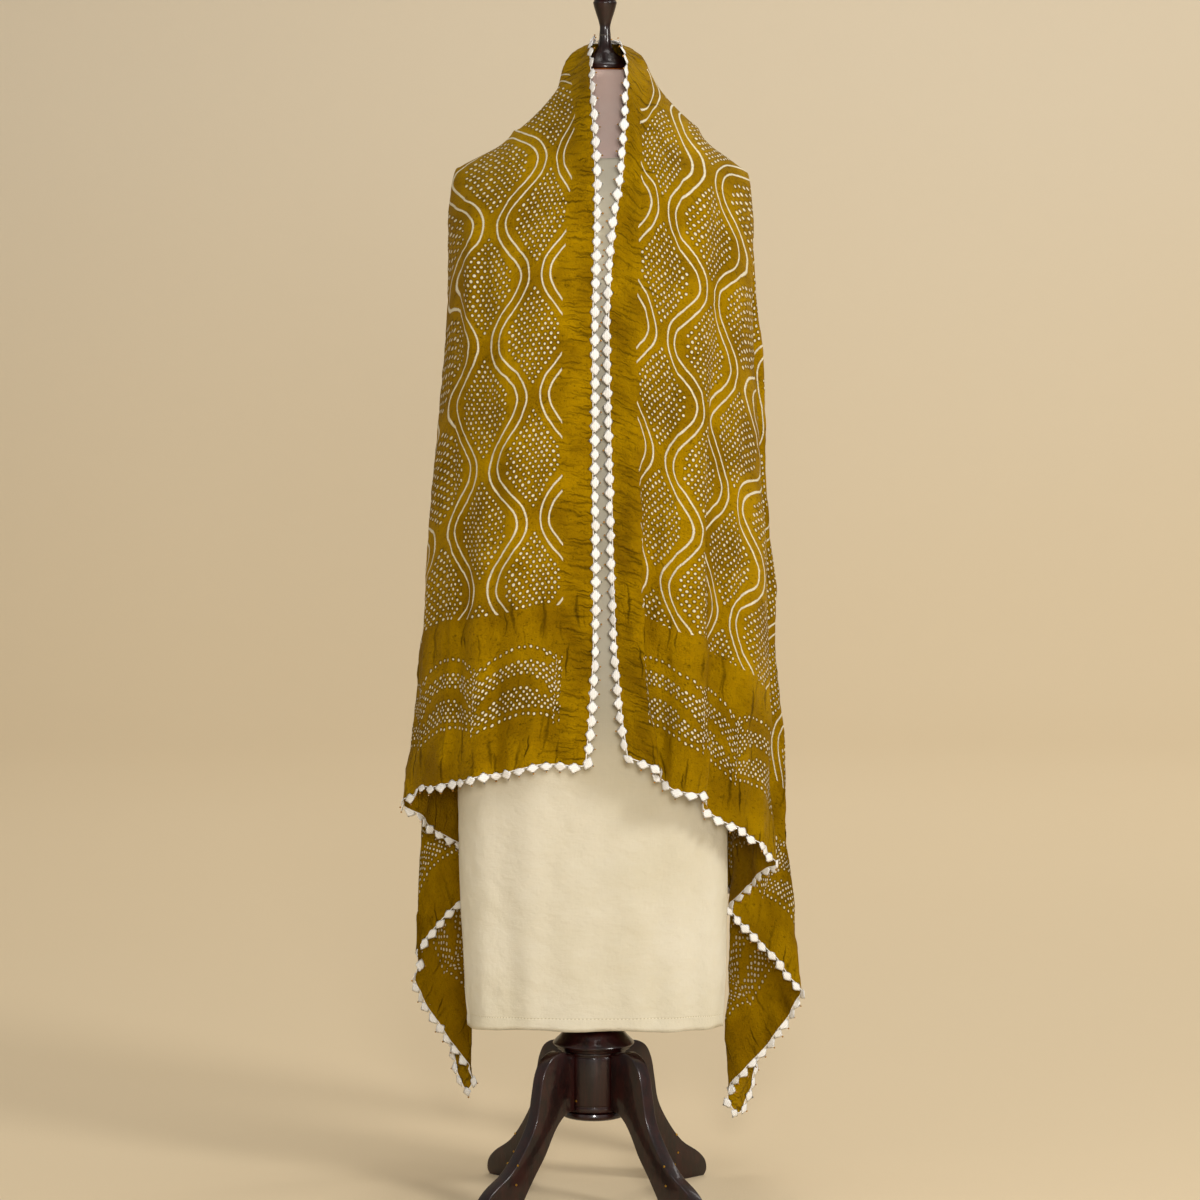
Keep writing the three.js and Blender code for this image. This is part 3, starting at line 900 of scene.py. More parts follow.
@dataclass(frozen=True)
class CrochetFinish:
    """Off-white crochet cotton, its stitches across and rows along the piece, with painted shade in
    the hollows between the loops.
    """

    yarn: str = "FFFEFB"
    shade_and_slub: str = "CFC4AC"
    stitch: float = 2.1  # mm
    relief: float = 0.0006  # metres for a height of 1

    def material(self, shared: SharedEffects) -> bpy.types.Material:
        """Builds the material on the lace's own flat coordinates."""
        material, g, surface = new_material("crochet_cotton")
        along, across = flat_place(g)
        turn = 2 * math.pi / self.stitch
        row = g.math("FLOOR", across / (self.stitch * 1.1))
        step = along + row * (self.stitch / 2)
        loop = g.math("ABSOLUTE", g.math("SINE", step * (turn / 2)))
        lay = g.math("ABSOLUTE", g.math("SINE", across * (turn / 2.2)))
        twist = g.math("SINE", (along + across * 0.8) * (turn * 2.3))
        fuzz = g.noise(g.place(along, across), 1.6, 3.0, 0.6)
        height = loop * 0.5 + lay * 0.5
        # painted shade in the hollows between the loops, plus a little random slub tone from the weave
        deep = g.ramp(0.62, 0.1, height)
        weave = use_group(g, shared.weave, Along=along, Across=across, Pitch=0.5)
        tone = deep * 0.55 + weave["Tone"] * 0.12
        surface.set(Base_Color=g.blend(tone, colour(self.yarn), colour(self.shade_and_slub)))
        surface.set(Roughness=0.82, Specular_IOR_Level=0.25)
        height = height + (twist * 0.06 + fuzz * 0.4)
        surface.set(Normal=g.bump(height, self.relief))
        return material


@dataclass(frozen=True)
class BeadFinish:
    """Small mustard-brown glass beads."""

    body: str = "C08A2E"
    core: str = "8A5A14"

    def material(self, shared: SharedEffects) -> bpy.types.Material:
        """Builds the material."""
        material, g, surface = new_material("bead_glass")
        place = object_place(g)
        drift = use_group(g, shared.drift, Place=place, Scale=60.0)
        streak = g.noise(place, 900.0, 2.0)
        tone = drift["Tone"] * 0.6 + streak * 0.4
        surface.set(Base_Color=g.blend(tone, colour(self.body), colour(self.core)))
        surface.set(Roughness=0.14, Coat_Weight=0.6)
        return material


@dataclass(frozen=True)
class DressFinish:
    """Plain cream cloth with slubbed threads and a stitched hem."""

    ground: str = "E0DAC8"
    worn: str = "CDC4A9"
    hem_line: float = 255.0  # mm above the floor
    stitch: float = 4.2
    seam_shade: str = "A8976A"
    thread: str = "F4EDD6"
    crumple: float = 3.6
    relief: float = 0.0012  # metres for a height of 1

    def material(self, shared: SharedEffects) -> bpy.types.Material:
        """Builds the material on the cloth's own flat coordinates."""
        material, g, surface = new_material("cream_linen")
        along, across = flat_place(g)
        weave = use_group(g, shared.weave, Along=along, Across=across, Pitch=0.9)
        place = g.place(along * 0.001, across * 0.001)
        drift = use_group(g, shared.drift, Place=place, Scale=7.0)
        tone = drift["Tone"] * 0.45 + weave["Tone"] * 0.6
        base = g.blend(tone, colour(self.ground), colour(self.worn))
        waver = (g.noise(place, 18.0, 1.0) - 0.5) * 2.4
        off = g.math("ABSOLUTE", across + waver - self.hem_line)
        dash = g.ramp(-0.35, 0.1, g.math("SINE", along * (2 * math.pi / self.stitch)))
        seam = g.ramp(1.1, 0.3, off)
        thread = seam * dash
        base = g.blend(seam * 0.35, base, colour(self.seam_shade))
        surface.set(Base_Color=g.blend(thread * 0.6, base, colour(self.thread)))
        surface.set(Roughness=0.8, Specular_IOR_Level=0.3)
        crumple = g.noise(place, 26.0, 4.0, 0.55)
        height = weave["Height"] * 0.16 + crumple * self.crumple
        height = height - seam * 0.35
        surface.set(Normal=g.bump(height + thread * 0.15, self.relief))
        return material


@dataclass(frozen=True)
class JerseyFinish:
    """Fine pink knitted jersey, its stitches as small Vs."""

    body: str = "FFE4D9"
    shadow: str = "F6CDBF"
    stitch: float = 1.3

    def material(self, shared: SharedEffects) -> bpy.types.Material:
        """Builds the material on the form's own flat coordinates."""
        material, g, surface = new_material("pink_jersey")
        along, across = flat_place(g)
        column = g.math("PINGPONG", along, self.stitch / 2)
        slant = across + column * 1.1
        v_shape = g.math("ABSOLUTE", g.math("SINE", slant * (math.pi / self.stitch)))
        rib = g.math("ABSOLUTE", g.math("SINE", along * (math.pi / self.stitch)))
        knit = (v_shape + 0.3) * (rib + 0.3)
        drift = use_group(g, shared.drift, Place=object_place(g), Scale=30.0)
        # painted shade between the knitted stitches, together with random patches of tone
        tone = g.ramp(0.7, 0.1, knit) * 0.4 + drift["Tone"] * 0.35
        surface.set(Base_Color=g.blend(tone, colour(self.body), colour(self.shadow)))
        surface.set(Roughness=0.78, Sheen_Weight=0.2)
        surface.set(Normal=g.bump(knit, 0.00035))
        return material


@dataclass(frozen=True)
class MahoganyFinish:
    """Reddish near-black wood under a glossy lacquer.

    The grain runs upwards in turned pieces and along the legs.
    """

    name: str
    heart: str = "100303"
    figure: str = "2B0B08"
    pore: str = "0C0303"
    lean: float = 0.0  # how far the grain leans outwards, 0 for upright

    def material(self, shared: SharedEffects) -> bpy.types.Material:
        """Builds the material."""
        material, g, surface = new_material(self.name)
        x, y, z = g.parts(object_place(g))
        place = g.place(x * 60.0, y * 60.0, z * (60.0 * self.lean + 5.0 * (1 - self.lean)))
        bend = g.noise(place, 0.6, 2.0)
        warped = g.add("ShaderNodeVectorMath", operation="ADD")
        g.feed(warped.inputs[0], place)
        g.feed(warped.inputs[1], g.place(bend * 2.0, bend * 1.5))
        bands = g.noise(g.out(warped, 0), 1.3, 5.0, 0.62)
        pores = g.ramp(0.6, 0.72, g.noise(g.place(x * 900.0, y * 900.0, z * 60.0), 1.0, 2.0))
        drift = use_group(g, shared.drift, Place=place, Scale=0.5)
        tone = g.ramp(0.38, 0.66, bands) * 0.75 + drift["Tone"] * 0.2
        base = g.blend(tone, colour(self.heart), colour(self.figure))
        surface.set(Base_Color=g.blend(pores * 0.6, base, colour(self.pore)))
        surface.set(Roughness=0.26 + bands * 0.16)
        surface.set(Specular_IOR_Level=0.3, Coat_Weight=0.45, Coat_Roughness=0.09)
        ripple = g.noise(object_place(g), 55.0, 2.0)
        height = ripple * 0.5 - pores * 0.12
        bumped = g.bump(height, 0.0006)
        surface.set(Normal=bumped)
        surface.set(Coat_Normal=g.bump(ripple, 0.0004))
        return material


@dataclass(frozen=True)
class MetalFinish:
    """Worn metal with fine scratches."""

    name: str
    body: str
    worn: str
    roughness: float = 0.3
    metallic: float = 1.0

    def material(self, shared: SharedEffects) -> bpy.types.Material:
        """Builds the material."""
        material, g, surface = new_material(self.name)
        place = object_place(g)
        drift = use_group(g, shared.drift, Place=place, Scale=220.0)
        scratch = g.noise(place, 2600.0, 3.0, 0.6)
        tone = drift["Tone"] * 0.6 + scratch * 0.3
        surface.set(Base_Color=g.blend(tone, colour(self.body), colour(self.worn)))
        surface.set(Metallic=self.metallic)
        surface.set(Roughness=self.roughness - 0.08 + scratch * 0.2)
        surface.set(Normal=g.bump(scratch, 0.00008))
        return material


@dataclass(frozen=True)
class BackdropFinish:
    """Painted beige backdrop, warmer and darker towards its foot."""

    high: str = "EADCC2"
    low: str = "E3CFAC"

    def material(self, shared: SharedEffects) -> bpy.types.Material:
        """Builds the material."""
        material, g, surface = new_material("backdrop_paint")
        place = object_place(g)
        _, _, z = g.parts(place)
        drift = use_group(g, shared.drift, Place=place, Scale=0.7)
        rise = g.ramp(-0.3, 2.6, z) + drift["Tone"] * 0.05
        surface.set(Base_Color=g.blend(rise, colour(self.low), colour(self.high)))
        surface.set(Roughness=0.92, Specular_IOR_Level=0.1)
        surface.set(Normal=g.bump(g.noise(place, 300.0, 3.0), 0.0003))
        return material


def dress_piece(piece: bpy.types.Object, material: bpy.types.Material, slot: str = "",
                replaces: Sequence[str] = ()) -> None:
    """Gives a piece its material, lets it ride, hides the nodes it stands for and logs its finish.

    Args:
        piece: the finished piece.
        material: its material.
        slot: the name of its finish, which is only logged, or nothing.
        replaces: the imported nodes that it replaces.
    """
    piece.data.materials.clear()
    piece.data.materials.append(material)
    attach(piece, BODY)
    if replaces:
        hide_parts(*replaces)
    count = sum(len(face.vertices) - 2 for face in piece.data.polygons)
    log.info("%s: %d triangles, slot %s", piece.name, count, slot or "none")


# ---------------------------------------------------------------- the shawl
class Side(Enum):
    """The wearer's two sides, as seen from the front."""

    LEFT = -1
    RIGHT = 1


@dataclass(frozen=True)
class Line:
    """One line down the hung cloth, from the ridge to the rim, in mm about the stand's axis.

    start is its place on the ridge, 0 at the neck and 1 at the shoulder's tip.
    """

    name: str
    start: float
    yoke: Triple
    full: Triple
    end: Triple


# The ridge over the shoulder, as (x, z).
RIDGE: dict[Side, tuple[tuple[float, float], ...]] = {
    Side.LEFT: (
        (FORM_X - 19, 1580), (-21, 1571), (-38, 1557), (-48, 1530), (-54, 1501), (-73, 1474),
        (-117, 1461), (-158, 1450), (-182, 1430),
    ),
    Side.RIGHT: (
        (FORM_X + 19, 1580), (53, 1572), (66, 1560), (76, 1538), (92, 1512), (121, 1482),
        (150, 1460), (183, 1442), (208, 1421),
    ),
}

LINES: dict[Side, tuple[Line, ...]] = {
    Side.LEFT: (
        Line("front_edge", 0, (-6, -60, 1546), (-3, -119, 1290), (-16, -128, 609)),
        Line("front_band", 0.3, (-46, -62, 1470), (-60, -124, 1280), (-76, -131, 616)),
        Line("front", 0.68, (-112, -60, 1415), (-124, -107, 1270), (-146, -118, 599)),
        Line("front_side", 1, (-179, -38, 1380), (-178, -66, 1270), (-210, -76, 582)),
        Line("fold_1_out", 1, (-194, -6, 1385), (-200, -8, 1200), (-258, -12, 555)),
        Line("fold_1_back", 1, (-195, 14, 1378), (-194, 30, 1180), (-216, 60, 500)),
        Line("fold_1_in", 1, (-190, 28, 1372), (-176, 72, 1160), (-132, 136, 428)),
        Line("fold_2_side", 1, (-189, 36, 1372), (-190, 76, 1150), (-196, 142, 384)),
        Line("fold_2_out", 1, (-189, 42, 1374), (-202, 84, 1140), (-254, 142, 302)),
        Line("tail", 1, (-184, 48, 1376), (-190, 94, 1130), (-222, 172, 212)),
        Line("tail_in", 1, (-178, 53, 1378), (-173, 100, 1120), (-169, 186, 132)),
        Line("corner", 1, (-174, 56, 1380), (-180, 108, 1120), (-180, 199, 114)),
        Line("back_1", 1, (-170, 60, 1382), (-188, 128, 1120), (-222, 236, 322)),
        Line("valley_1", 1, (-162, 63, 1384), (-150, 116, 1140), (-147, 180, 448)),
        Line("back_2", 0.9, (-146, 68, 1390), (-142, 146, 1160), (-156, 232, 508)),
        Line("valley_2", 0.8, (-126, 71, 1396), (-112, 126, 1160), (-116, 184, 548)),
        Line("back_3", 0.68, (-104, 74, 1408), (-84, 148, 1180), (-92, 226, 570)),
        Line("valley_3", 0.45, (-68, 74, 1430), (-54, 126, 1200), (-64, 160, 588)),
        Line("back_neck", 0, (-10, 60, 1544), (-24, 132, 1240), (-34, 200, 584)),
    ),
    Side.RIGHT: (
        Line("front_edge", 0, (43, -60, 1546), (29, -119, 1290), (46, -126, 625)),
        Line("pleat_1_out", 0.22, (68, -64, 1480), (58, -122, 1280), (86, -137, 612)),
        Line("pleat_1_in", 0.3, (82, -62, 1470), (77, -123, 1280), (76, -116, 603)),
        Line("front", 0.62, (120, -62, 1432), (118, -114, 1270), (119, -124, 579)),
        Line("pleat_2_out", 0.8, (158, -56, 1410), (152, -98, 1270), (155, -119, 570)),
        Line("pleat_2_in", 0.9, (172, -48, 1400), (166, -84, 1270), (146, -92, 554)),
        Line("front_side", 1, (200, -34, 1384), (198, -58, 1250), (200, -68, 519)),
        Line("fold_1_out", 1, (214, -6, 1385), (218, -6, 1200), (252, -14, 472)),
        Line("fold_1_back", 1, (214, 12, 1378), (212, 26, 1180), (217, 44, 432)),
        Line("fold_1_in", 1, (210, 26, 1374), (200, 60, 1160), (193, 88, 392)),
        Line("fold_2_side", 1, (214, 34, 1374), (217, 66, 1150), (240, 104, 330)),
        Line("fold_2_out", 1, (216, 40, 1376), (230, 72, 1140), (285, 119, 270)),
        Line("tail", 1, (208, 46, 1378), (216, 84, 1130), (248, 146, 190)),
        Line("tail_in", 1, (200, 52, 1380), (194, 96, 1120), (188, 164, 118)),
        Line("corner", 1, (196, 56, 1382), (198, 106, 1120), (207, 180, 82)),
        Line("back_1", 1, (190, 61, 1384), (208, 128, 1120), (244, 226, 320)),
        Line("valley_1", 1, (182, 65, 1386), (170, 116, 1140), (166, 180, 440)),
        Line("back_2", 0.9, (168, 70, 1392), (162, 146, 1160), (182, 228, 492)),
        Line("valley_2", 0.8, (148, 72, 1398), (132, 126, 1160), (140, 182, 538)),
        Line("back_3", 0.62, (124, 76, 1410), (104, 148, 1180), (113, 226, 564)),
        Line("valley_3", 0.42, (94, 76, 1434), (78, 126, 1200), (78, 158, 586)),
        Line("back_neck", 0, (41, 60, 1544), (48, 132, 1240), (44, 198, 584)),
    ),
}
# How far the long edge beside the opening stands to the right of its line, as (height, shift).
OPENING: dict[Side, tuple[tuple[float, float], ...]] = {
    Side.LEFT: ((600, 4), (680, 9), (762, 12), (880, 10), (1000, 6), (1212, 2), (1402, 6), (1540, 2),
                (1575, 0)),
    Side.RIGHT: ((600, 4), (680, -6), (762, -11), (880, -11), (1000, -9), (1212, -8), (1330, -2),
                 (1402, 5), (1540, 2), (1575, 0)),
}
COLLAR_RADIUS = 21.0
COLLAR_TOP = 1580.0
COLLAR_RISE = 20.0
CENTRE_BACK: tuple[Triple, ...] = (
    (FORM_X, COLLAR_RADIUS, COLLAR_TOP), (FORM_X, 64, 1544), (FORM_X - 2, 132, 1240), (4, 182, 583),
)


@dataclass(frozen=True)
class ShawlSize:
    """How finely the shawl is meshed and how uneven it is, in millimetres."""

    front_step: float = 5.0
    side_step: float = 8.2
    back_step: float = 14.0
    levels: int = 160
    fine_columns: int = 11
    fine_split: int = 3
    shoulder_width: float = 192.0  # of the cloth over a shoulder, from the long edge to the tip
    easing: int = 7  # columns over which the flat places are evened out
    easing_rounds: int = 3
    tip_round: float = 78.0  # how far from a shoulder's tip the sheet is rounded
    tip_rounds: int = 110
    weld: float = 0.08
    rim_wave: float = 6.0
    gathers: float = 0.75  # from here on, heights of the sheet's unevenness
    broad_gathers: float = 0.9
    end_creases: float = 3.0
    broad_folds: float = 4.4
    narrow_folds: float = 1.7
    crush: float = 0.9
    rim_folds: float = 2.0
    placed_folds: float = 1.5  # share of the heights in FOLDS


@dataclass(frozen=True)
class Fold:
    """One soft fold down the cloth, in mm on the flat cloth.

    Across and along are of its lower end, the place across drifts by lean up to its upper end,
    and height is its rise outwards, negative for a trough.
    """

    side: Side
    across: float
    from_end: float
    length: float
    spread: float
    height: float
    lean: float = 0.0


FOLDS: tuple[Fold, ...] = (
    Fold(Side.LEFT, 118, -20, 330, 13, -7.0, 12), Fold(Side.LEFT, 150, -30, 420, 16, 4.5, 6),
    Fold(Side.LEFT, 78, 0, 240, 11, 3.4, -8), Fold(Side.LEFT, 182, -20, 520, 12, -4.2, -10),
    Fold(Side.LEFT, 96, 190, 300, 14, 3.2, 16), Fold(Side.LEFT, 135, 420, 330, 15, -3.2, 20),
    Fold(Side.LEFT, 62, 380, 260, 12, 2.6, 10), Fold(Side.LEFT, 168, 560, 240, 14, 3.2, 8),
    Fold(Side.LEFT, 260, -20, 420, 15, -4.6, 4), Fold(Side.LEFT, 315, -20, 500, 18, 4.2, -8),
    Fold(Side.LEFT, 430, -20, 560, 18, -4.0, 10), Fold(Side.LEFT, 560, -20, 520, 20, 4.0, 0),
    Fold(Side.LEFT, 700, -20, 480, 18, -4.2, -12), Fold(Side.LEFT, 820, -20, 420, 16, 3.6, 8),
    Fold(Side.RIGHT, 58, -20, 210, 9, 4.0, -4), Fold(Side.RIGHT, 92, -20, 300, 11, -4.6, 10),
    Fold(Side.RIGHT, 128, 0, 420, 15, 4.2, 4), Fold(Side.RIGHT, 74, 230, 330, 11, -3.0, 14),
    Fold(Side.RIGHT, 108, 470, 300, 13, 3.2, 12), Fold(Side.RIGHT, 160, 330, 420, 12, -3.4, 12),
    Fold(Side.RIGHT, 215, -20, 460, 13, -4.4, -6), Fold(Side.RIGHT, 262, 60, 420, 16, 3.8, 8),
    Fold(Side.RIGHT, 340, -20, 480, 18, -4.2, 12), Fold(Side.RIGHT, 455, -20, 520, 18, 4.0, 0),
    Fold(Side.RIGHT, 590, -20, 520, 20, -4.2, 8), Fold(Side.RIGHT, 730, -20, 460, 18, 4.0, -8),
    Fold(Side.RIGHT, 835, -20, 400, 16, -3.6, 6),
    Fold(Side.LEFT, 868, 700, 420, 60, -5.0, 0), Fold(Side.RIGHT, 842, 640, 430, 48, 5.0, 0),
    Fold(Side.LEFT, 640, 560, 420, 40, 5.0, 30), Fold(Side.RIGHT, 560, 600, 420, 46, -5.0, -20),
)


class HalfShawl:
    """One half of the hung cloth, as a grid of points with their places on the flat cloth."""

    RIDGE_AT = 0.25  # the ridge's place along a line's curve

    def __init__(self, side: Side, size: ShawlSize, plan: BandhaniPlan) -> None:
        """Lays out the columns and works out the grid."""
        self.side = side
        self.size = size
        self.plan = plan
        self.rows = LINES[side]
        self.tip = next(k for k, row in enumerate(self.rows) if row.start == 1)
        self.tip_end = max(k for k, row in enumerate(self.rows) if row.start == 1)
        self.last = len(self.rows)
        ridge = np.array([(x, 0.0, z) for x, z in RIDGE[side]])
        self.ridge = catmull(ridge, np.linspace(0, 1, 201))
        self.ridge_length = path_lengths(self.ridge)
        self.controls = self.line_controls()
        self.lay_columns()

    def on_ridge(self, share: np.ndarray) -> np.ndarray:
        """Points on the ridge by share of its length."""
        at = np.asarray(share) * self.ridge_length[-1]
        parts = [np.interp(at, self.ridge_length, self.ridge[:, k]) for k in range(3)]
        return np.stack(parts, axis=-1)

    def line_controls(self) -> np.ndarray:
        """Control points of every line, shape (rows, 5, 3), the middle of the back last."""
        result = []
        for row in self.rows:
            top = self.on_ridge(np.array([row.start]))[0]
            across = row.yoke[0] if row.start < 1 else 2 * top[0] - row.yoke[0]
            mirror = (across, -row.yoke[1], row.yoke[2])
            result.append([mirror, tuple(top), row.yoke, row.full, row.end])
        top_x, top_y, top_z = CENTRE_BACK[0]
        result.append([(top_x, top_y - COLLAR_RISE, top_z + COLLAR_RISE), *CENTRE_BACK])
        return np.array(result, dtype=float)

    def down_lines(self, levels: np.ndarray) -> np.ndarray:
        """Points down every line, shape (rows, levels, 3)."""
        return catmull(self.controls, self.RIDGE_AT + (1 - self.RIDGE_AT) * levels)

    def surface(self, places: np.ndarray, levels: np.ndarray) -> np.ndarray:
        """Points of the sheet between the lines.

        Args:
            places: places across, counted in lines.
            levels: places down, 0 at the ridge and 1 at the rim.

        Returns:
            The points, shape (levels, places, 3).
        """
        down = self.down_lines(levels)
        return catmull(np.swapaxes(down, 0, 1), places / self.last)

    def steps_between(self, places: np.ndarray, step: float) -> int:
        """How many columns an interval needs for its width at the rim."""
        rim = self.surface(np.linspace(places[0], places[-1], 9), np.array([1.0]))[0]
        return max(1, math.ceil(path_lengths(rim)[-1] / step))

    def lay_columns(self) -> None:
        """Sets each column's place, start on the ridge and share of the ridge."""
        starts = np.array([row.start for row in self.rows])
        knots = np.unique(starts)
        front = np.arange(self.tip + 1)
        back = np.arange(self.last - 1, self.tip_end - 1, -1)
        places: list[float] = []
        shares: list[float] = []
        for low, high in zip(knots[:-1], knots[1:]):
            ends = np.interp((low, high), starts[front], front)
            behind = np.interp((low, high), starts[back], back)
            ridge_steps = math.ceil((high - low) * self.ridge_length[-1] / self.size.front_step)
            count = max(self.steps_between(ends, self.size.front_step), ridge_steps,
                        self.steps_between(behind, self.size.back_step))
            shares.extend(np.linspace(low, high, count, endpoint=False))
        front_shares = np.array(shares)
        places.extend(np.interp(front_shares, starts[front], front))
        for row in range(self.tip, self.tip_end):
            count = self.steps_between(np.array([row, row + 1.0]), self.size.side_step)
            places.extend(np.linspace(row, row + 1, count, endpoint=False))
        cone = len(places) - len(front_shares)
        back_shares = np.concatenate([[1.0], front_shares[::-1]])
        places.extend(np.interp(back_shares, starts[back], back))
        count = self.steps_between(np.array([self.last - 1.0, self.last]), self.size.back_step)
        collar = np.linspace(0, 1, count + 1)[1:]
        places.extend(self.last - 1 + collar)
        self.places = np.array(places)
        self.shares = np.concatenate([front_shares, np.ones(cone), back_shares,
                                      np.zeros(count)])
        starts_at = self.on_ridge(self.shares)
        angle = collar * math.pi / 2
        neck_x = self.ridge[0, 0]
        starts_at[-count:, 0] = FORM_X + (neck_x - FORM_X) * np.cos(angle)
        starts_at[-count:, 1] = COLLAR_RADIUS * np.sin(angle)
        starts_at[-count:, 2] = COLLAR_TOP
        self.starts_at = starts_at
        self.collar = collar

    def mean_run(self, probe: np.ndarray) -> np.ndarray:
        """Running length down the lines at places down, as the lines' mean."""
        return path_lengths(self.down_lines(probe)).mean(axis=0)

    def build_grid(self, levels: np.ndarray) -> None:
        """Works out the points and their places on the flat cloth.

        Args:
            levels: places down, 0 at the ridge and 1 at the rim.
        """
        points = self.surface(self.places, levels)
        near = 0.002
        jump = self.starts_at - self.surface(self.places, np.array([near]))[0]
        fade = np.clip(1 - 12 * levels, 0, None)[:, None, None]
        points = points + jump[None] * fade
        points[0] = self.starts_at
        self.points = points
        run = path_lengths(np.swapaxes(points, 0, 1))
        length = run[:, -1]
        self.front_length = length[0]
        share = run / length[:, None]
        top, end = self.flat_ends(length)
        flat = top[:, None] + (end - top)[:, None] * share[..., None]
        front = int(np.argmax(self.shares == 1)) + 1
        beside = path_lengths(points[:, :front])
        flat[:front, :, 1] = (beside / beside[:, -1:]).T * flat[front - 1, :, 1]
        flat = self.eased(np.swapaxes(flat, 0, 1), levels)
        flat[..., 0] *= self.side.value
        self.flat = flat

    def eased(self, flat: np.ndarray, levels: np.ndarray) -> np.ndarray:
        """The flat places evened out across the columns, so that the layout has no kinks.

        Args:
            flat: the places, shape (levels, columns, 2).
            levels: places down, 0 at the ridge and 1 at the rim.

        Returns:
            The evened places; the ridge, the rim and the sheet's two sides keep theirs.
        """
        reach = self.size.easing
        result = flat
        for _ in range(self.size.easing_rounds):
            padded = np.concatenate([2 * result[:, :1] - result[:, reach:0:-1], result,
                                     2 * result[:, -1:] - result[:, -2:-reach - 2:-1]], axis=1)
            total = sum(padded[:, k:k + result.shape[1]] for k in range(2 * reach + 1))
            result = total / (2 * reach + 1)
        share = ease(0.03, 0.2, levels) * (1 - ease(0.93, 1.0, levels))
        columns = np.arange(flat.shape[1])
        side = np.minimum(columns, flat.shape[1] - 1 - columns)
        share = share[:, None] * ease(0, 12, side)[None]
        return flat + (result - flat) * share[..., None]

    def flat_ends(self, length: np.ndarray) -> tuple[np.ndarray, np.ndarray]:
        """Where each column starts and ends on the flat cloth, in mm along and across."""
        half = self.plan.half_length
        top = np.stack([half - length, self.shares * self.size.shoulder_width], axis=-1)
        front = int(np.argmax(self.shares == 1))
        count = len(self.collar)
        ridge_part = np.interp(self.shares, self.shares[:front + 1], top[:front + 1, 0])
        top[front:, 0] = ridge_part[front:]
        top[-count:, 0] = top[0, 0] * (1 - self.collar)
        top[-count:, 1] = 0.0
        rim = self.points[-1]
        run = path_lengths(rim)
        names = [row.name for row in self.rows]
        corner = int(np.argmin(np.abs(self.places - names.index("corner"))))
        end = np.empty_like(top)
        end[:corner + 1, 0] = half
        end[:corner + 1, 1] = self.plan.width * run[:corner + 1] / run[corner]
        beyond = (run[corner:] - run[corner]) / (run[-1] - run[corner])
        end[corner:, 0] = half * (1 - beyond)
        end[corner:, 1] = self.plan.width
        self.hem_length = run[corner]
        self.outer_length = run[-1] - run[corner]
        return top, end

    def faces(self, first: int) -> tuple[np.ndarray, np.ndarray, list[list[int]]]:
        """The mesh of this half.

        Args:
            first: number of its first vertex.

        Returns:
            Its points in mm, its flat places in mm, and its faces.
        """
        split = self.size.fine_split
        fine, columns = self.points.shape[:2]
        edge = self.size.fine_columns
        used = np.zeros((fine, columns), dtype=bool)
        used[:, :edge + 1] = True
        used[::split, :] = True
        number = np.full((fine, columns), -1)
        number[used] = np.arange(used.sum()) + first
        faces: list[list[int]] = []
        for c in range(edge):
            for k in range(fine - 1):
                faces.append([number[k, c], number[k + 1, c], number[k + 1, c + 1], number[k, c + 1]])
        for k in range(0, fine - 1, split):
            side = [int(number[k + n, edge]) for n in range(split + 1)]
            faces.append([*side, number[k + split, edge + 1], number[k, edge + 1]])
            for c in range(edge + 1, columns - 1):
                faces.append([number[k, c], number[k + split, c], number[k + split, c + 1],
                              number[k, c + 1]])
        faces = [[int(v) for v in face] for face in faces]
        if self.side is Side.RIGHT:
            faces = [face[::-1] for face in faces]
        return self.points[used], self.flat[used], faces


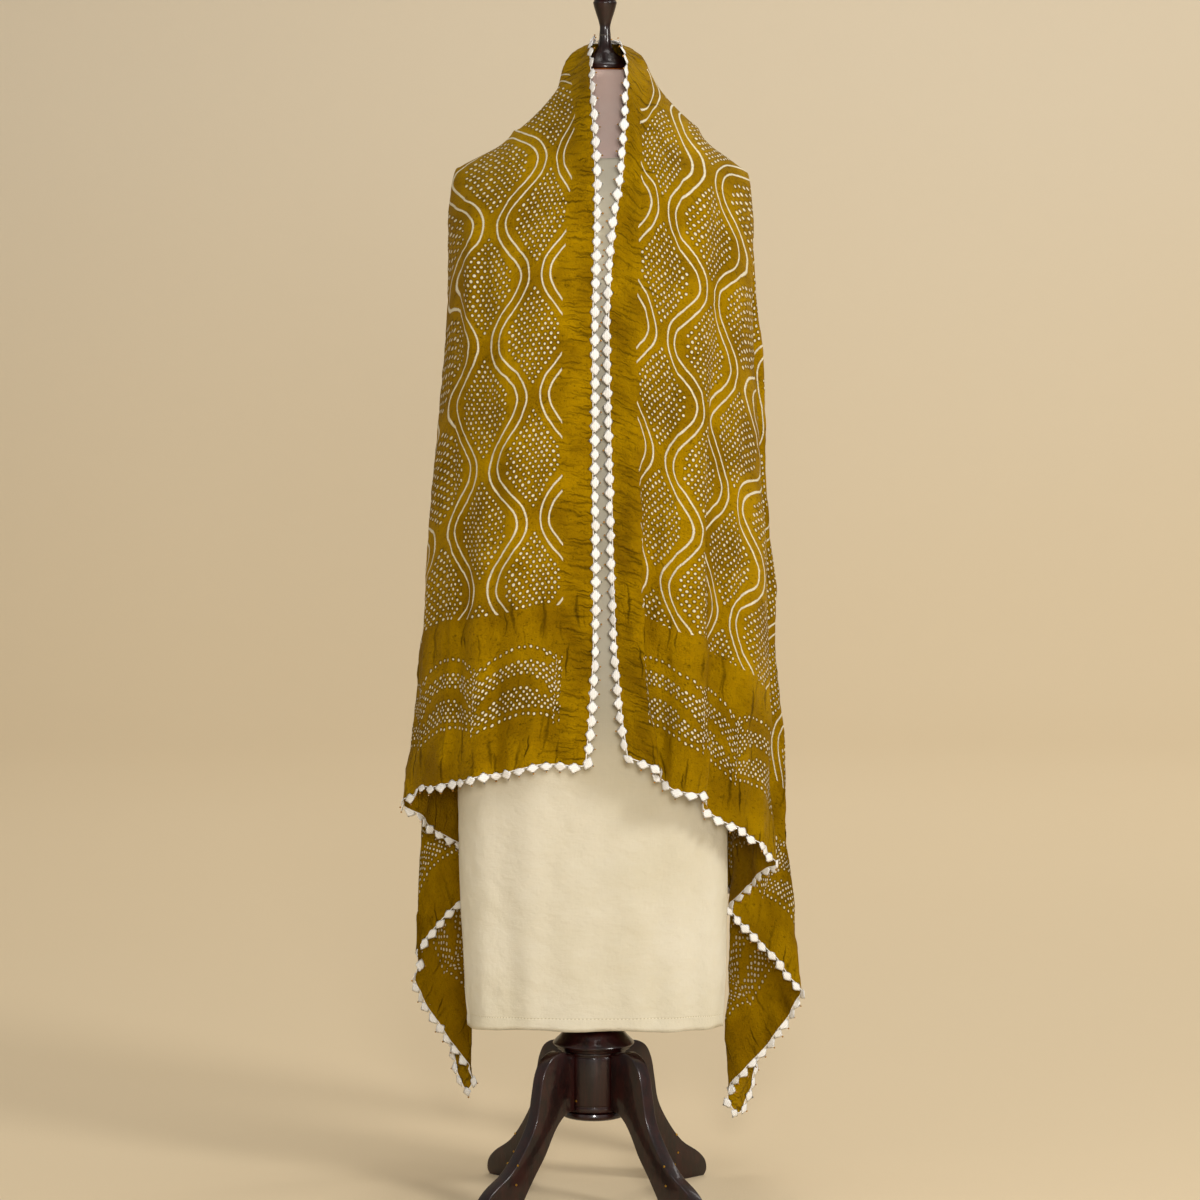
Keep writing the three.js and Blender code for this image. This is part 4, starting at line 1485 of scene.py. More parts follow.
class Shawl:
    """The bandhani sheet, one piece from corner to corner."""

    NAME = "shawl_cloth"

    def __init__(self, size: ShawlSize, plan: BandhaniPlan) -> None:
        """Keeps the sizes."""
        self.size = size
        self.plan = plan

    def build(self, shared: SharedEffects) -> bpy.types.Object:
        left = HalfShawl(Side.LEFT, self.size, self.plan)
        right = HalfShawl(Side.RIGHT, self.size, self.plan)
        fine = (self.size.levels - 1) * self.size.fine_split + 1
        probe = np.linspace(0, 1, 241)
        run = (left.mean_run(probe) + right.mean_run(probe)) / 2
        levels = np.interp(np.linspace(0, run[-1], fine), run, probe)
        left.build_grid(levels)
        right.build_grid(levels)
        for half in (left, right):
            log.info("%s: front %.0f mm, short end %.0f mm, half of the long edge %.0f mm",
                     half.side.name, half.front_length, half.hem_length, half.outer_length)
        points, flat, faces = left.faces(0)
        more, more_flat, more_faces = right.faces(len(points))
        points = np.concatenate([points, more]) * MM + AXIS
        piece = mesh_piece(self.NAME, points, faces + more_faces)
        set_uv(piece, np.concatenate([flat, more_flat]) * MM)
        self.weld(piece)
        self.crumple(piece)
        shade_smooth(piece)
        dress_piece(piece, BandhaniFinish(self.plan).material(shared), "cloth", ["shawl"])
        self.piece = piece
        return piece

    def weld(self, piece: bpy.types.Object) -> None:
        """Joins the halves along the ridges and the middle of the back, and faces them outwards."""
        mesh = bmesh.new()
        mesh.from_mesh(piece.data)
        bmesh.ops.remove_doubles(mesh, verts=mesh.verts, dist=self.size.weld * MM)
        for side in Side:
            x, z = RIDGE[side][-1]
            tip = Vector((AXIS[0] + x * MM, AXIS[1], z * MM))
            near = [v for v in mesh.verts if (v.co - tip).length < self.size.tip_round * MM]
            for _ in range(self.size.tip_rounds):
                bmesh.ops.smooth_vert(mesh, verts=near, factor=0.5, use_axis_x=True,
                                      use_axis_y=True, use_axis_z=True)
        mesh.normal_update()
        outwards = sum(face.normal.y * (face.calc_center_median().y - AXIS[1]) for face in mesh.faces)
        if outwards < 0:
            bmesh.ops.reverse_faces(mesh, faces=mesh.faces)
        mesh.to_mesh(piece.data)
        mesh.free()

    def crumple(self, piece: bpy.types.Object) -> None:
        """Moves the sheet along its normals by its soft folds, gathers and creases."""
        mesh = piece.data
        corner = np.zeros(len(mesh.loops), dtype=np.int32)
        mesh.loops.foreach_get("vertex_index", corner)
        values = np.zeros(len(mesh.loops) * 2)
        mesh.uv_layers[0].data.foreach_get("uv", values)
        flat = np.zeros((len(mesh.vertices), 2))
        flat[corner] = values.reshape(-1, 2) / MM
        shift = self.unevenness(flat[:, 0], flat[:, 1])
        points = vertex_values(piece, "co")
        normals = vertex_values(piece, "normal")
        from_end = self.plan.half_length - np.abs(flat[:, 0])
        scallop = Unevenness(43).at(flat[:, 1] / 27, flat[:, 0] / 90)
        drop = np.zeros_like(points)
        drop[:, 2] = self.size.rim_wave * scallop * (1 - ease(0, 70, from_end))
        for side in Side:
            heights, shifts = np.array(OPENING[side]).T
            close = np.interp(points[:, 2] / MM, heights, shifts)
            close *= (np.sign(flat[:, 0]) == side.value) * (1 - ease(40, 200, flat[:, 1]))
            drop[:, 0] += close
        move_vertices(piece, points + (normals * shift[:, None] + drop) * MM)

    def unevenness(self, along: np.ndarray, across: np.ndarray) -> np.ndarray:
        """How far the sheet stands off its smooth shape, in mm.

        Args:
            along: places along the flat cloth, 0 in its middle.
            across: places across the flat cloth.

        Returns:
            The shift outwards at each place.
        """
        plan = self.plan
        size = self.size
        edge = np.minimum(across, plan.width - across)
        from_end = plan.half_length - np.abs(along)
        from_neck = ease(60, 330, np.abs(along) + np.maximum(across - 230, 0) * 0.6)
        gathers = Unevenness(3).at(along / 4.6, across / 26)
        gathers = 1 - 2 * np.abs(gathers)
        broad = Unevenness(5).at(along / 13, across / 40)
        strip = 1 - ease(plan.plain_edge - 12, plan.plain_edge + 16, edge)
        result = strip * (size.gathers * gathers + size.broad_gathers * broad)
        creases = 1 - 2 * np.abs(Unevenness(7).at(across / 17, along / 80))
        ends = (1 - ease(50, 74, from_end)) + ease(160, 174, from_end) * (1 - ease(206, 236, from_end))
        result += ends * size.end_creases * creases
        folds = Unevenness(11).at(across / 34, along / 360)
        finer = Unevenness(13).at(across / 17, along / 90)
        hang = from_neck * ease(0, 26, edge)
        result += hang * (size.broad_folds * folds + size.narrow_folds * finer)
        crush = Unevenness(17).at(across / 8.5, along / 9.5)
        result += size.crush * crush * from_neck * ease(0, 20, edge)
        for fold in FOLDS:
            on_side = np.sign(along + 1e-6) == fold.side.value
            up = np.clip((from_end - fold.from_end) / fold.length, 0, 1)
            beside = (across - fold.across - fold.lean * up) / fold.spread
            fade = np.cos(up * math.pi / 2) ** 1.2 * ease(-40, 10, from_end - fold.from_end)
            fade *= np.exp(-beside**2) * ease(0, 40, edge)
            result += on_side * size.placed_folds * fold.height * fade
        rim = 1 - ease(0, 30, from_end)
        result += rim * size.rim_folds * Unevenness(19).at(across / 24, along / 40)
        return result


def rim_loop(piece: bpy.types.Object) -> tuple[np.ndarray, np.ndarray, np.ndarray]:
    """The single open rim of a sheet, in order.

    Args:
        piece: a sheet with one rim.

    Returns:
        The rim's points, its outward directions in the sheet and the sheet's normals there.
    """
    mesh = bmesh.new()
    mesh.from_mesh(piece.data)
    mesh.normal_update()
    ahead: dict[int, int] = {}
    outward: dict[int, Vector] = {}
    for edge in mesh.edges:
        if len(edge.link_faces) != 1:
            continue
        loop = edge.link_loops[0]
        start = loop.vert
        end = loop.link_loop_next.vert
        ahead[start.index] = end.index
        away = (start.co + end.co) / 2 - edge.link_faces[0].calc_center_median()
        outward[start.index] = away.normalized()
    mesh.verts.ensure_lookup_table()
    first = min(ahead)
    order = [first]
    while ahead[order[-1]] != first:
        order.append(ahead[order[-1]])
    if len(order) != len(ahead):
        log.warning("the rim has %d of %d edges", len(order), len(ahead))
    points = np.array([tuple(mesh.verts[k].co) for k in order])
    away = np.array([tuple(outward[k]) for k in order])
    normals = np.array([tuple(mesh.verts[k].normal) for k in order])
    mesh.free()
    return points, away, normals


def smooth_round(values: np.ndarray, run: np.ndarray, total: float, reach: float) -> np.ndarray:
    """Averages values round a closed loop.

    Args:
        values: the values at each point, shape (n, d).
        run: running length at each point.
        total: the loop's whole length.
        reach: half the length that is averaged over.

    Returns:
        The averaged values at the same points.
    """
    steps = np.linspace(-reach, reach, 9)
    wrapped_run = np.concatenate([run - total, run, run + total])
    wrapped = np.concatenate([values, values, values])
    result = np.zeros_like(values)
    for step in steps:
        for k in range(values.shape[1]):
            result[:, k] += np.interp(run + step, wrapped_run, wrapped[:, k])
    return result / len(steps)


def unit(vectors: np.ndarray) -> np.ndarray:
    """The vectors at length 1."""
    return vectors / np.maximum(np.linalg.norm(vectors, axis=-1, keepdims=True), 1e-12)


@dataclass(frozen=True)
class EdgingSize:
    """Sizes of the crochet edging, in millimetres."""

    pitch: float = 19.4
    half_along: float = 10.3
    half_across: float = 7.7
    thickness: float = 1.6
    outset: float = 3.4
    lift: float = 1.2
    cells: int = 5
    cord_radius: float = 0.6
    cord_step: float = 2.6
    cord_sides: int = 6
    bead_radius: float = 1.25
    bead_sides: int = 8
    bead_rings: int = 5
    puff: float = 0.36  # power of a diamond's swell, 0 for flat
    along_range: tuple[float, float] = (0.95, 1.04)  # shares of the sizes, from one to another
    across_range: tuple[float, float] = (0.88, 1.12)
    bead_range: tuple[float, float] = (0.8, 1.15)
    bead_share: float = 0.72  # share of the corners that have a bead
    curl: float = 0.16  # spread of the tilts, in radians
    turn: float = 0.07
    lumps: float = 0.07  # spread of the yarn's unevenness


class Edging:
    """The crochet edging: diamonds corner to corner, a chain along the rim, and small beads."""

    def __init__(self, size: EdgingSize, cloth: bpy.types.Object) -> None:
        """Finds the rim that the edging is sewn to."""
        self.size = size
        self.random = np.random.default_rng(41)
        points, away, normals = rim_loop(cloth)
        closed = np.concatenate([points, points[:1]])
        run = path_lengths(closed)
        self.total = run[-1]
        self.run = run[:-1]
        self.points = smooth_round(points, self.run, self.total, 3 * MM)
        self.away = unit(smooth_round(away, self.run, self.total, 7 * MM))
        self.normals = unit(smooth_round(normals, self.run, self.total, 7 * MM))

    def at(self, run: np.ndarray) -> tuple[np.ndarray, np.ndarray, np.ndarray, np.ndarray]:
        """Point, direction along, outward direction and normal at places round the rim."""
        wrapped_run = np.concatenate([self.run - self.total, self.run, self.run + self.total])

        def sample(values: np.ndarray, where: np.ndarray) -> np.ndarray:
            """Values at places round the rim."""
            wrapped = np.concatenate([values, values, values])
            parts = [np.interp(where, wrapped_run, wrapped[:, k]) for k in range(3)]
            return np.stack(parts, axis=-1)

        reach = self.size.pitch * MM * 0.35
        run = run % self.total
        points = sample(self.points, run)
        along = unit(sample(self.points, run + reach) - sample(self.points, run - reach))
        outward = sample(self.away, run)
        outward = unit(outward - along * (outward * along).sum(-1, keepdims=True))
        normal = np.cross(along, outward)
        flip = np.sign((normal * sample(self.normals, run)).sum(-1, keepdims=True))
        return points, along, outward, normal * np.where(flip == 0, 1, flip)

    def diamonds(self) -> tuple[np.ndarray, np.ndarray, list[list[int]], np.ndarray]:
        """Puffed diamonds all round.

        Returns:
            Their points, their flat places, their faces and their outer corners.
        """
        size = self.size
        count = round(self.total / (size.pitch * MM))
        run = (np.arange(count) + 0.5) * self.total / count
        points, along, outward, normal = self.at(run)
        cells = size.cells
        p, q = np.meshgrid(np.linspace(-1, 1, cells + 1), np.linspace(-1, 1, cells + 1),
                           indexing="ij")
        swell = ((1 - p**2) * (1 - q**2)) ** size.puff
        rounding = 1 - 0.05 * (p * q) ** 2
        local_a = (p + q) / 2 * rounding
        local_b = (p - q) / 2 * rounding
        inner = (np.abs(p) < 1) & (np.abs(q) < 1)
        front = np.arange((cells + 1) ** 2).reshape(cells + 1, cells + 1)
        back = front.copy()
        back[inner] = front.size + np.arange(inner.sum())
        faces: list[list[int]] = []
        for i in range(cells):
            for j in range(cells):
                faces.append([front[i, j], front[i, j + 1], front[i + 1, j + 1], front[i + 1, j]])
                faces.append([back[i, j], back[i + 1, j], back[i + 1, j + 1], back[i, j + 1]])
        a = np.concatenate([local_a.ravel(), local_a[inner]])
        b = np.concatenate([local_b.ravel(), local_b[inner]])
        h = np.concatenate([swell.ravel(), -swell[inner]])
        rand = self.random
        all_points = []
        all_flat = []
        all_faces: list[list[int]] = []
        corners = []
        for k in range(count):
            half_a = size.half_along * rand.uniform(*size.along_range)
            half_b = size.half_across * rand.uniform(*size.across_range)
            curl = rand.normal(0, size.curl)
            turn = rand.normal(0, size.turn)
            out = outward[k] * math.cos(curl) + normal[k] * math.sin(curl)
            up = normal[k] * math.cos(curl) - outward[k] * math.sin(curl)
            tangent = along[k] * math.cos(turn) + out * math.sin(turn)
            out = out * math.cos(turn) - along[k] * math.sin(turn)
            centre = points[k] + (outward[k] * size.outset + normal[k] * size.lift) * MM
            uneven = 1 + rand.normal(0, size.lumps, a.shape)
            shape = (tangent[None] * (a * half_a)[:, None] + out[None] * (b * half_b * uneven)[:, None]
                     + up[None] * (h * size.thickness / 2 * uneven)[:, None])
            base = len(all_points) * len(a)
            all_points.append(centre + shape * MM)
            all_flat.append(np.stack([a * half_a + 37 * k, b * half_b], axis=-1) * MM)
            all_faces.extend([[int(v) + base for v in face] for face in faces])
            corners.append(centre + out * half_b * MM * 1.02)
        return (np.concatenate(all_points), np.concatenate(all_flat), all_faces,
                np.array(corners))

    def chain(self) -> tuple[np.ndarray, np.ndarray, list[list[int]]]:
        """The chain stitched along the rim: its points, flat places and faces."""
        size = self.size
        count = round(self.total / (size.cord_step * MM))
        run = np.arange(count) * self.total / count
        points, _, outward, normal = self.at(run)
        angle = np.linspace(0, 2 * math.pi, size.cord_sides, endpoint=False)
        pulse = 1 + 0.18 * np.sin(np.arange(count) * 2.4)
        ring = (outward[:, None] * np.cos(angle)[None, :, None]
                + normal[:, None] * np.sin(angle)[None, :, None])
        radius = size.cord_radius * MM * pulse[:, None, None]
        middle = points + (outward * 0.7 + normal * 0.3) * MM
        grid = middle[:, None] + ring * radius
        flat = np.stack(np.meshgrid(run, angle * size.cord_radius * MM, indexing="ij"), axis=-1)
        faces = []
        for i in range(count):
            for j in range(size.cord_sides):
                k = (i + 1) % count
                n = (j + 1) % size.cord_sides
                faces.append([i * size.cord_sides + j, i * size.cord_sides + n,
                              k * size.cord_sides + n, k * size.cord_sides + j])
        return grid.reshape(-1, 3), flat.reshape(-1, 2), faces

    def beads(self, corners: np.ndarray) -> tuple[np.ndarray, list[list[int]]]:
        """A small bead on most outer corners: their points and faces."""
        size = self.size
        sides = size.bead_sides
        points: list[np.ndarray] = []
        faces: list[list[int]] = []
        height = np.linspace(-1, 1, size.bead_rings + 2)[1:-1]
        angle = np.linspace(0, 2 * math.pi, sides, endpoint=False)
        for corner in corners:
            if self.random.uniform() > size.bead_share:
                continue
            radius = size.bead_radius * MM * self.random.uniform(*size.bead_range)
            base = sum(len(part) for part in points)
            ring = np.sqrt(1 - height**2)
            body = np.stack([np.outer(ring, np.cos(angle)), np.outer(ring, np.sin(angle)),
                             np.repeat(height[:, None], sides, 1)], axis=-1).reshape(-1, 3)
            body = np.concatenate([body, [[0, 0, -1], [0, 0, 1]]])
            points.append(corner + body * radius)
            low = base + sides * size.bead_rings
            for i in range(sides):
                j = (i + 1) % sides
                for r in range(size.bead_rings - 1):
                    faces.append([base + r * sides + i, base + r * sides + j,
                                  base + (r + 1) * sides + j, base + (r + 1) * sides + i])
                top = base + (size.bead_rings - 1) * sides
                faces.append([base + j, base + i, low])
                faces.append([top + i, top + j, low + 1])
        return np.concatenate(points), faces

    def build(self, shared: SharedEffects) -> list[bpy.types.Object]:
        """Builds and dresses the lace, the chain and the beads."""
        yarn = CrochetFinish().material(shared)
        points, flat, faces, corners = self.diamonds()
        lace = smooth_piece("edging_diamonds", points, faces, flat)
        dress_piece(lace, yarn, "crochet", ["edging"])
        points, flat, faces = self.chain()
        chain = smooth_piece("edging_chain", points, faces, flat)
        dress_piece(chain, yarn, "crochet")
        points, faces = self.beads(corners)
        beads = smooth_piece("edging_beads", points, faces)
        dress_piece(beads, BeadFinish().material(shared), "crochet")
        return [lace, chain, beads]


# ---------------------------------------------------------------- the dress and the form
# A row for each level: height, height at the sides, middle, half width, half depth, in mm.
Ring = tuple[float, float, float, float, float]
DRESS: tuple[Ring, ...] = (
    (238, 238, 2, 177, 46), (330, 330, 1, 181, 52), (480, 480, 0, 185, 62), (660, 660, 1, 187, 84),
    (860, 860, 3, 186, 106), (1060, 1060, 6, 176, 104), (1200, 1200, 9, 180, 108),
    (1290, 1290, 11, 187, 109), (1366, 1376, 12, 193, 92), (1398, 1420, 12, 164, 74),
    (1414, 1446, 13, 120, 64), (1424, 1458, 14, 88, 60),
)
TORSO: tuple[Ring, ...] = (
    (740, 740, 2, 120, 62), (770, 770, 2, 158, 84), (880, 880, 3, 176, 98), (1050, 1050, 6, 148, 84),
    (1180, 1180, 9, 168, 98), (1290, 1290, 11, 180, 102), (1370, 1370, 12, 186, 84),
    (1400, 1412, 12, 162, 66), (1416, 1440, 13, 118, 56), (1440, 1456, 14, 74, 50),
    (1470, 1474, 15, 50, 45), (1510, 1510, FORM_X, 40, 40), (1544.6, 1544.6, FORM_X, 38, 38),
)


class RingLoft:
    """A smooth wall through rings, as a grid of points and flat places."""

    def __init__(self, rings: Sequence[Ring], sides: int, levels: int) -> None:
        """Lofts the wall.

        Args:
            rings: the rows, upwards.
            sides: points round.
            levels: points upwards.
        """
        table = np.array(rings, dtype=float)
        at = np.interp(np.linspace(table[0, 0], table[-1, 0], levels), table[:, 0],
                       np.linspace(0, 1, len(table)))
        rows = catmull(table, at)
        self.angle = math.pi / 2 + np.linspace(0, 2 * math.pi, sides, endpoint=False)
        turn = self.angle[None]
        z, z_side, middle, a, b = (rows[:, k:k + 1] for k in range(5))
        self.points = np.stack([
            middle + a * np.cos(turn),
            b * np.sin(turn) + 0 * z,
            z + (z_side - z) * np.cos(turn) ** 2,
        ], axis=-1)
        out = np.stack([b * np.cos(turn), a * np.sin(turn), 0 * turn + 0 * z], axis=-1)
        self.normals = unit(out)
        reach = float(np.median((a + b) / 2))
        self.around = (self.angle - self.angle[0]) * reach
        self.length = 2 * math.pi * reach
        self.off_seam = (ease(0, 50, self.around) * ease(0, 50, self.length - self.around))[None]
        self.height = self.points[..., 2]
        self.sides = sides

    def flat(self, points: np.ndarray) -> np.ndarray:
        """Flat places of a grid of points: length round, and height, in mm."""
        around = np.repeat(self.around[None], points.shape[0], 0)
        return np.stack([around, points[..., 2]], axis=-1)


def close_uv(piece: bpy.types.Object, length: float) -> None:
    """Lets the flat places run on round a closed wall, so that no face spans the whole length.

    Args:
        piece: the wall.
        length: the length round it, in metres.
    """
    uv = piece.data.uv_layers[0].data
    for face in piece.data.polygons:
        places = [uv[k].uv[0] for k in face.loop_indices]
        if len(places) == 4 and max(places) - min(places) > length / 2:
            for k in face.loop_indices:
                if uv[k].uv[0] < length / 2:
                    uv[k].uv[0] += length


def tube_faces(levels: int, sides: int) -> list[list[int]]:
    """Faces of a wall of rings, outwards where the rings run upwards."""
    faces = []
    for k in range(levels - 1):
        for i in range(sides):
            j = (i + 1) % sides
            faces.append([k * sides + i, k * sides + j, (k + 1) * sides + j, (k + 1) * sides + i])
    return faces


@dataclass(frozen=True)
class DressFold:
    """One soft fold down the dress."""

    angle: float  # degrees round, 270 at the front
    spread: float  # degrees
    depth: float  # mm, outwards where positive, at the hem
    top: float  # height in mm where it dies out


@dataclass(frozen=True)
class DressSize:
    """Sizes of the dress's sheet, in millimetres."""

    sides: int = 200
    levels: int = 210
    turning: float = 16.0
    neck_turning: float = 1.6
    thickness: float = 1.4
    wander: float = 3.0  # of a fold to either side on its way down
    fold_share: float = 0.62  # share of the depths in the folds
    crumple: float = 2.0
    hem_crumple: float = 1.1
    fine_crumple: float = 0.45
    hem_height: float = 17.0  # from the lower rim up to the stitched line
    hem_wave: float = 2.6
    folds: tuple[DressFold, ...] = field(default=(
        DressFold(214, 8, 4.5, 760), DressFold(230, 7, -4.0, 700), DressFold(240, 7, 4.6, 900),
        DressFold(251, 6, -2.6, 560), DressFold(261, 8, 2.6, 620), DressFold(273, 10, -2.4, 700),
        DressFold(286, 8, 3.4, 640), DressFold(297, 7, -3.4, 800), DressFold(308, 8, 4.4, 760),
        DressFold(321, 6, -3.2, 620), DressFold(331, 9, 4.4, 700), DressFold(352, 9, -3.0, 700),
        DressFold(20, 12, 4.4, 760), DressFold(48, 10, -3.8, 700), DressFold(76, 13, 4.8, 820),
        DressFold(104, 11, -4.0, 760), DressFold(133, 12, 4.6, 700), DressFold(160, 10, -3.6, 760),
        DressFold(190, 9, -3.2, 760),
    ))


class Dress:
    """The plain cream dress under the shawl, open at the hem and the neck."""

    def __init__(self, size: DressSize) -> None:
        """Keeps the sizes."""
        self.size = size

    def build(self, shared: SharedEffects) -> bpy.types.Object:
        size = self.size
        loft = RingLoft(DRESS, size.sides, size.levels)
        points = loft.points.copy()
        degrees = np.degrees(loft.angle)[None]
        height = points[..., 2]
        shift = np.zeros_like(height)
        for fold in size.folds:
            off = (degrees - fold.angle + 180) % 360 - 180
            wander = size.wander * np.sin(height / 130 + fold.angle)
            shape = np.exp(-((off + wander) / fold.spread) ** 2)
            shift += size.fold_share * fold.depth * shape * (1 - ease(DRESS[0][0], fold.top, height))
        around = np.repeat(loft.around[None], len(points), 0)
        calm = (1 - ease(1100, 1300, height)) * loft.off_seam
        near_hem = (1 - ease(260, 420, height)) * loft.off_seam
        shift += size.crumple * Unevenness(23).at(around / 62, height / 105) * calm
        shift += size.hem_crumple * Unevenness(27).at(around / 34, height / 24) * near_hem
        shift += size.fine_crumple * Unevenness(29).at(around / 15, height / 17) * loft.off_seam
        hem = DRESS[0][0] + size.hem_height
        shift += 0.6 * (1 - ease(hem - 1.5, hem + 1.0, height))
        shift -= 0.5 * np.exp(-((height - hem) / 1.6) ** 2)
        points += loft.normals * shift[..., None]
        wave = size.hem_wave * Unevenness(31).at(around / 52, around * 0) * loft.off_seam
        points[..., 2] += wave * (1 - ease(DRESS[0][0], DRESS[0][0] + 120, height))
        low = points[:1] - loft.normals[:1] * size.thickness
        inner_low = np.concatenate([low + [0, 0, size.turning], low + [0, 0, 0.4]])
        high = points[-1:] - loft.normals[-1:] * size.thickness
        inner_high = np.concatenate([high - [0, 0, 0.4], high - [0, 0, size.neck_turning]])
        points = np.concatenate([inner_low, points, inner_high])
        faces = tube_faces(len(points), size.sides)
        flat = loft.flat(points).reshape(-1, 2) * MM
        piece = smooth_piece("dress_cloth", points.reshape(-1, 3) * MM + AXIS, faces, flat)
        close_uv(piece, loft.length * MM)
        dress_piece(piece, DressFinish().material(shared), "linen", ["dress"])
        return piece


class Form:
    """The padded form with its short neck, covered in jersey."""

    SIDES = 120
    LEVELS = 130
    DRAWN_IN = 3.4  # how far it stands inside its rings under the dress, in mm

    def build(self, shared: SharedEffects) -> bpy.types.Object:
        """Builds and dresses the form."""
        loft = RingLoft(TORSO, self.SIDES, self.LEVELS)
        points = loft.points.copy()
        around = np.repeat(loft.around[None], len(points), 0)
        swell = 0.4 * Unevenness(37).at(around / 30, points[..., 2] / 35) * loft.off_seam
        inside = self.DRAWN_IN * (1 - ease(1445, 1485, points[..., 2]))
        points += loft.normals * (swell - inside)[..., None]
        flat = loft.flat(points).reshape(-1, 2) * MM
        faces = tube_faces(self.LEVELS, self.SIDES)
        faces.append(list(range(self.SIDES))[::-1])
        top = (self.LEVELS - 1) * self.SIDES
        faces.append(list(range(top, top + self.SIDES)))
        piece = smooth_piece("form_jersey", points.reshape(-1, 3) * MM + AXIS, faces, flat)
        close_uv(piece, loft.length * MM)
        dress_piece(piece, JerseyFinish().material(shared), "jersey", ["form"])
        return piece


# ---------------------------------------------------------------- the turned stand
Outline = tuple[tuple[float, float], ...]


@dataclass(frozen=True)
class Turning:
    """One turned piece: its outline as (radius, height) in mm and how it is rounded."""

    name: str
    node: str
    outline: Outline
    x: float = 0.0
    smooth: int = 1  # points put between two of the outline's, by a curve
    bevel: float = 0.6
    angle: float = 40.0


TURNINGS: tuple[Turning, ...] = (
    Turning("stand_cap", "neck_cap", (
        (0, 1545), (38.4, 1545), (39.6, 1545.8), (40, 1547), (39.5, 1550), (35, 1554), (28, 1558),
        (20, 1563), (14, 1568), (10, 1575), (8.2, 1583), (7.8, 1590.6), (0, 1590.6),
    ), FORM_X, 3, 0.0),
    Turning("stand_finial", "finial", (
        (0, 1591), (7.8, 1591), (7, 1601), (8.6, 1609), (12.5, 1621), (15.4, 1631), (16, 1635),
        (14.6, 1637), (16.2, 1639), (16.4, 1645), (14, 1656), (9, 1667), (6, 1671), (8, 1676),
        (8.6, 1681), (6, 1687), (0, 1690),
    ), FORM_X, 3, 0.0),
    Turning("stand_pole", "pole", ((0, 240.4), (16, 240.4), (16, 739.6), (0, 739.6)), bevel=1.0),
    Turning("stand_collar", "base_collar", (
        (0, 206), (47, 206), (50, 208), (51, 210), (54, 212), (56, 215), (54, 218), (46, 226),
        (41, 232), (34, 237), (26, 240), (0, 240),
    ), 0.0, 3, 0.0),
    Turning("stand_column", "column", (
        (0, 122), (41, 122), (44, 125), (44, 130), (42.9, 131.2), (42.9, 132.6), (44, 133.8),
        (44, 199), (42.9, 200.2), (42.9, 201.4), (44, 202.6), (44, 205.6), (0, 205.6),
    ), bevel=0.4),
    Turning("stand_disc", "bottom_disc", (
        (0, 112), (38, 112), (43, 114), (45, 117), (44, 121.6), (0, 121.6),
    ), 0.0, 3, 0.0),
)

CAP_RING = Turning("stand_cap_ring", "", (
    (37.4, 1543.4), (38.9, 1543.2), (39.7, 1544.1), (38.9, 1545.0), (37.4, 1544.8), (37.4, 1543.4),
), FORM_X, 1, 0.2, 30.0)
LEG_OUTER: Outline = (
    (60, 209), (72, 210), (91, 201), (102, 182), (108, 155), (115, 121), (132, 91), (162, 56),
    (195, 35), (208, 21), (210, 8), (205, 0),
)
LEG_INNER: Outline = (
    (148, 0), (120, 42), (98, 72), (85, 95), (73, 112), (58, 124), (44.4, 126),
)
LEG_ROOT = 44.4
LEG_TOP = (58.0, 205.6)


@dataclass(frozen=True)
class LegSize:
    """Sizes of the four sawn legs, in millimetres."""

    thickness: float = 20.0
    count: int = 4
    turn: float = math.pi / 4 - 0.03
    bevel: float = 2.4
    curve_steps: int = 4
    pins: tuple[tuple[float, float], ...] = ((150.0, 66.0), (153.0, 40.0))
    pin_radius: float = 1.7
    pin_depth: float = 1.6
    pin_bevel: float = 0.5


def eased_outline(outline: Outline, steps: int) -> list[tuple[float, float]]:
    """An outline with further points on a curve through it; its first and last stay."""
    if steps < 2:
        return list(outline)
    table = np.array(outline, dtype=float)
    shares = np.linspace(0, 1, (len(table) - 1) * steps + 1)
    return [(max(0.0, float(r)), float(z)) for r, z in catmull(table, shares)]


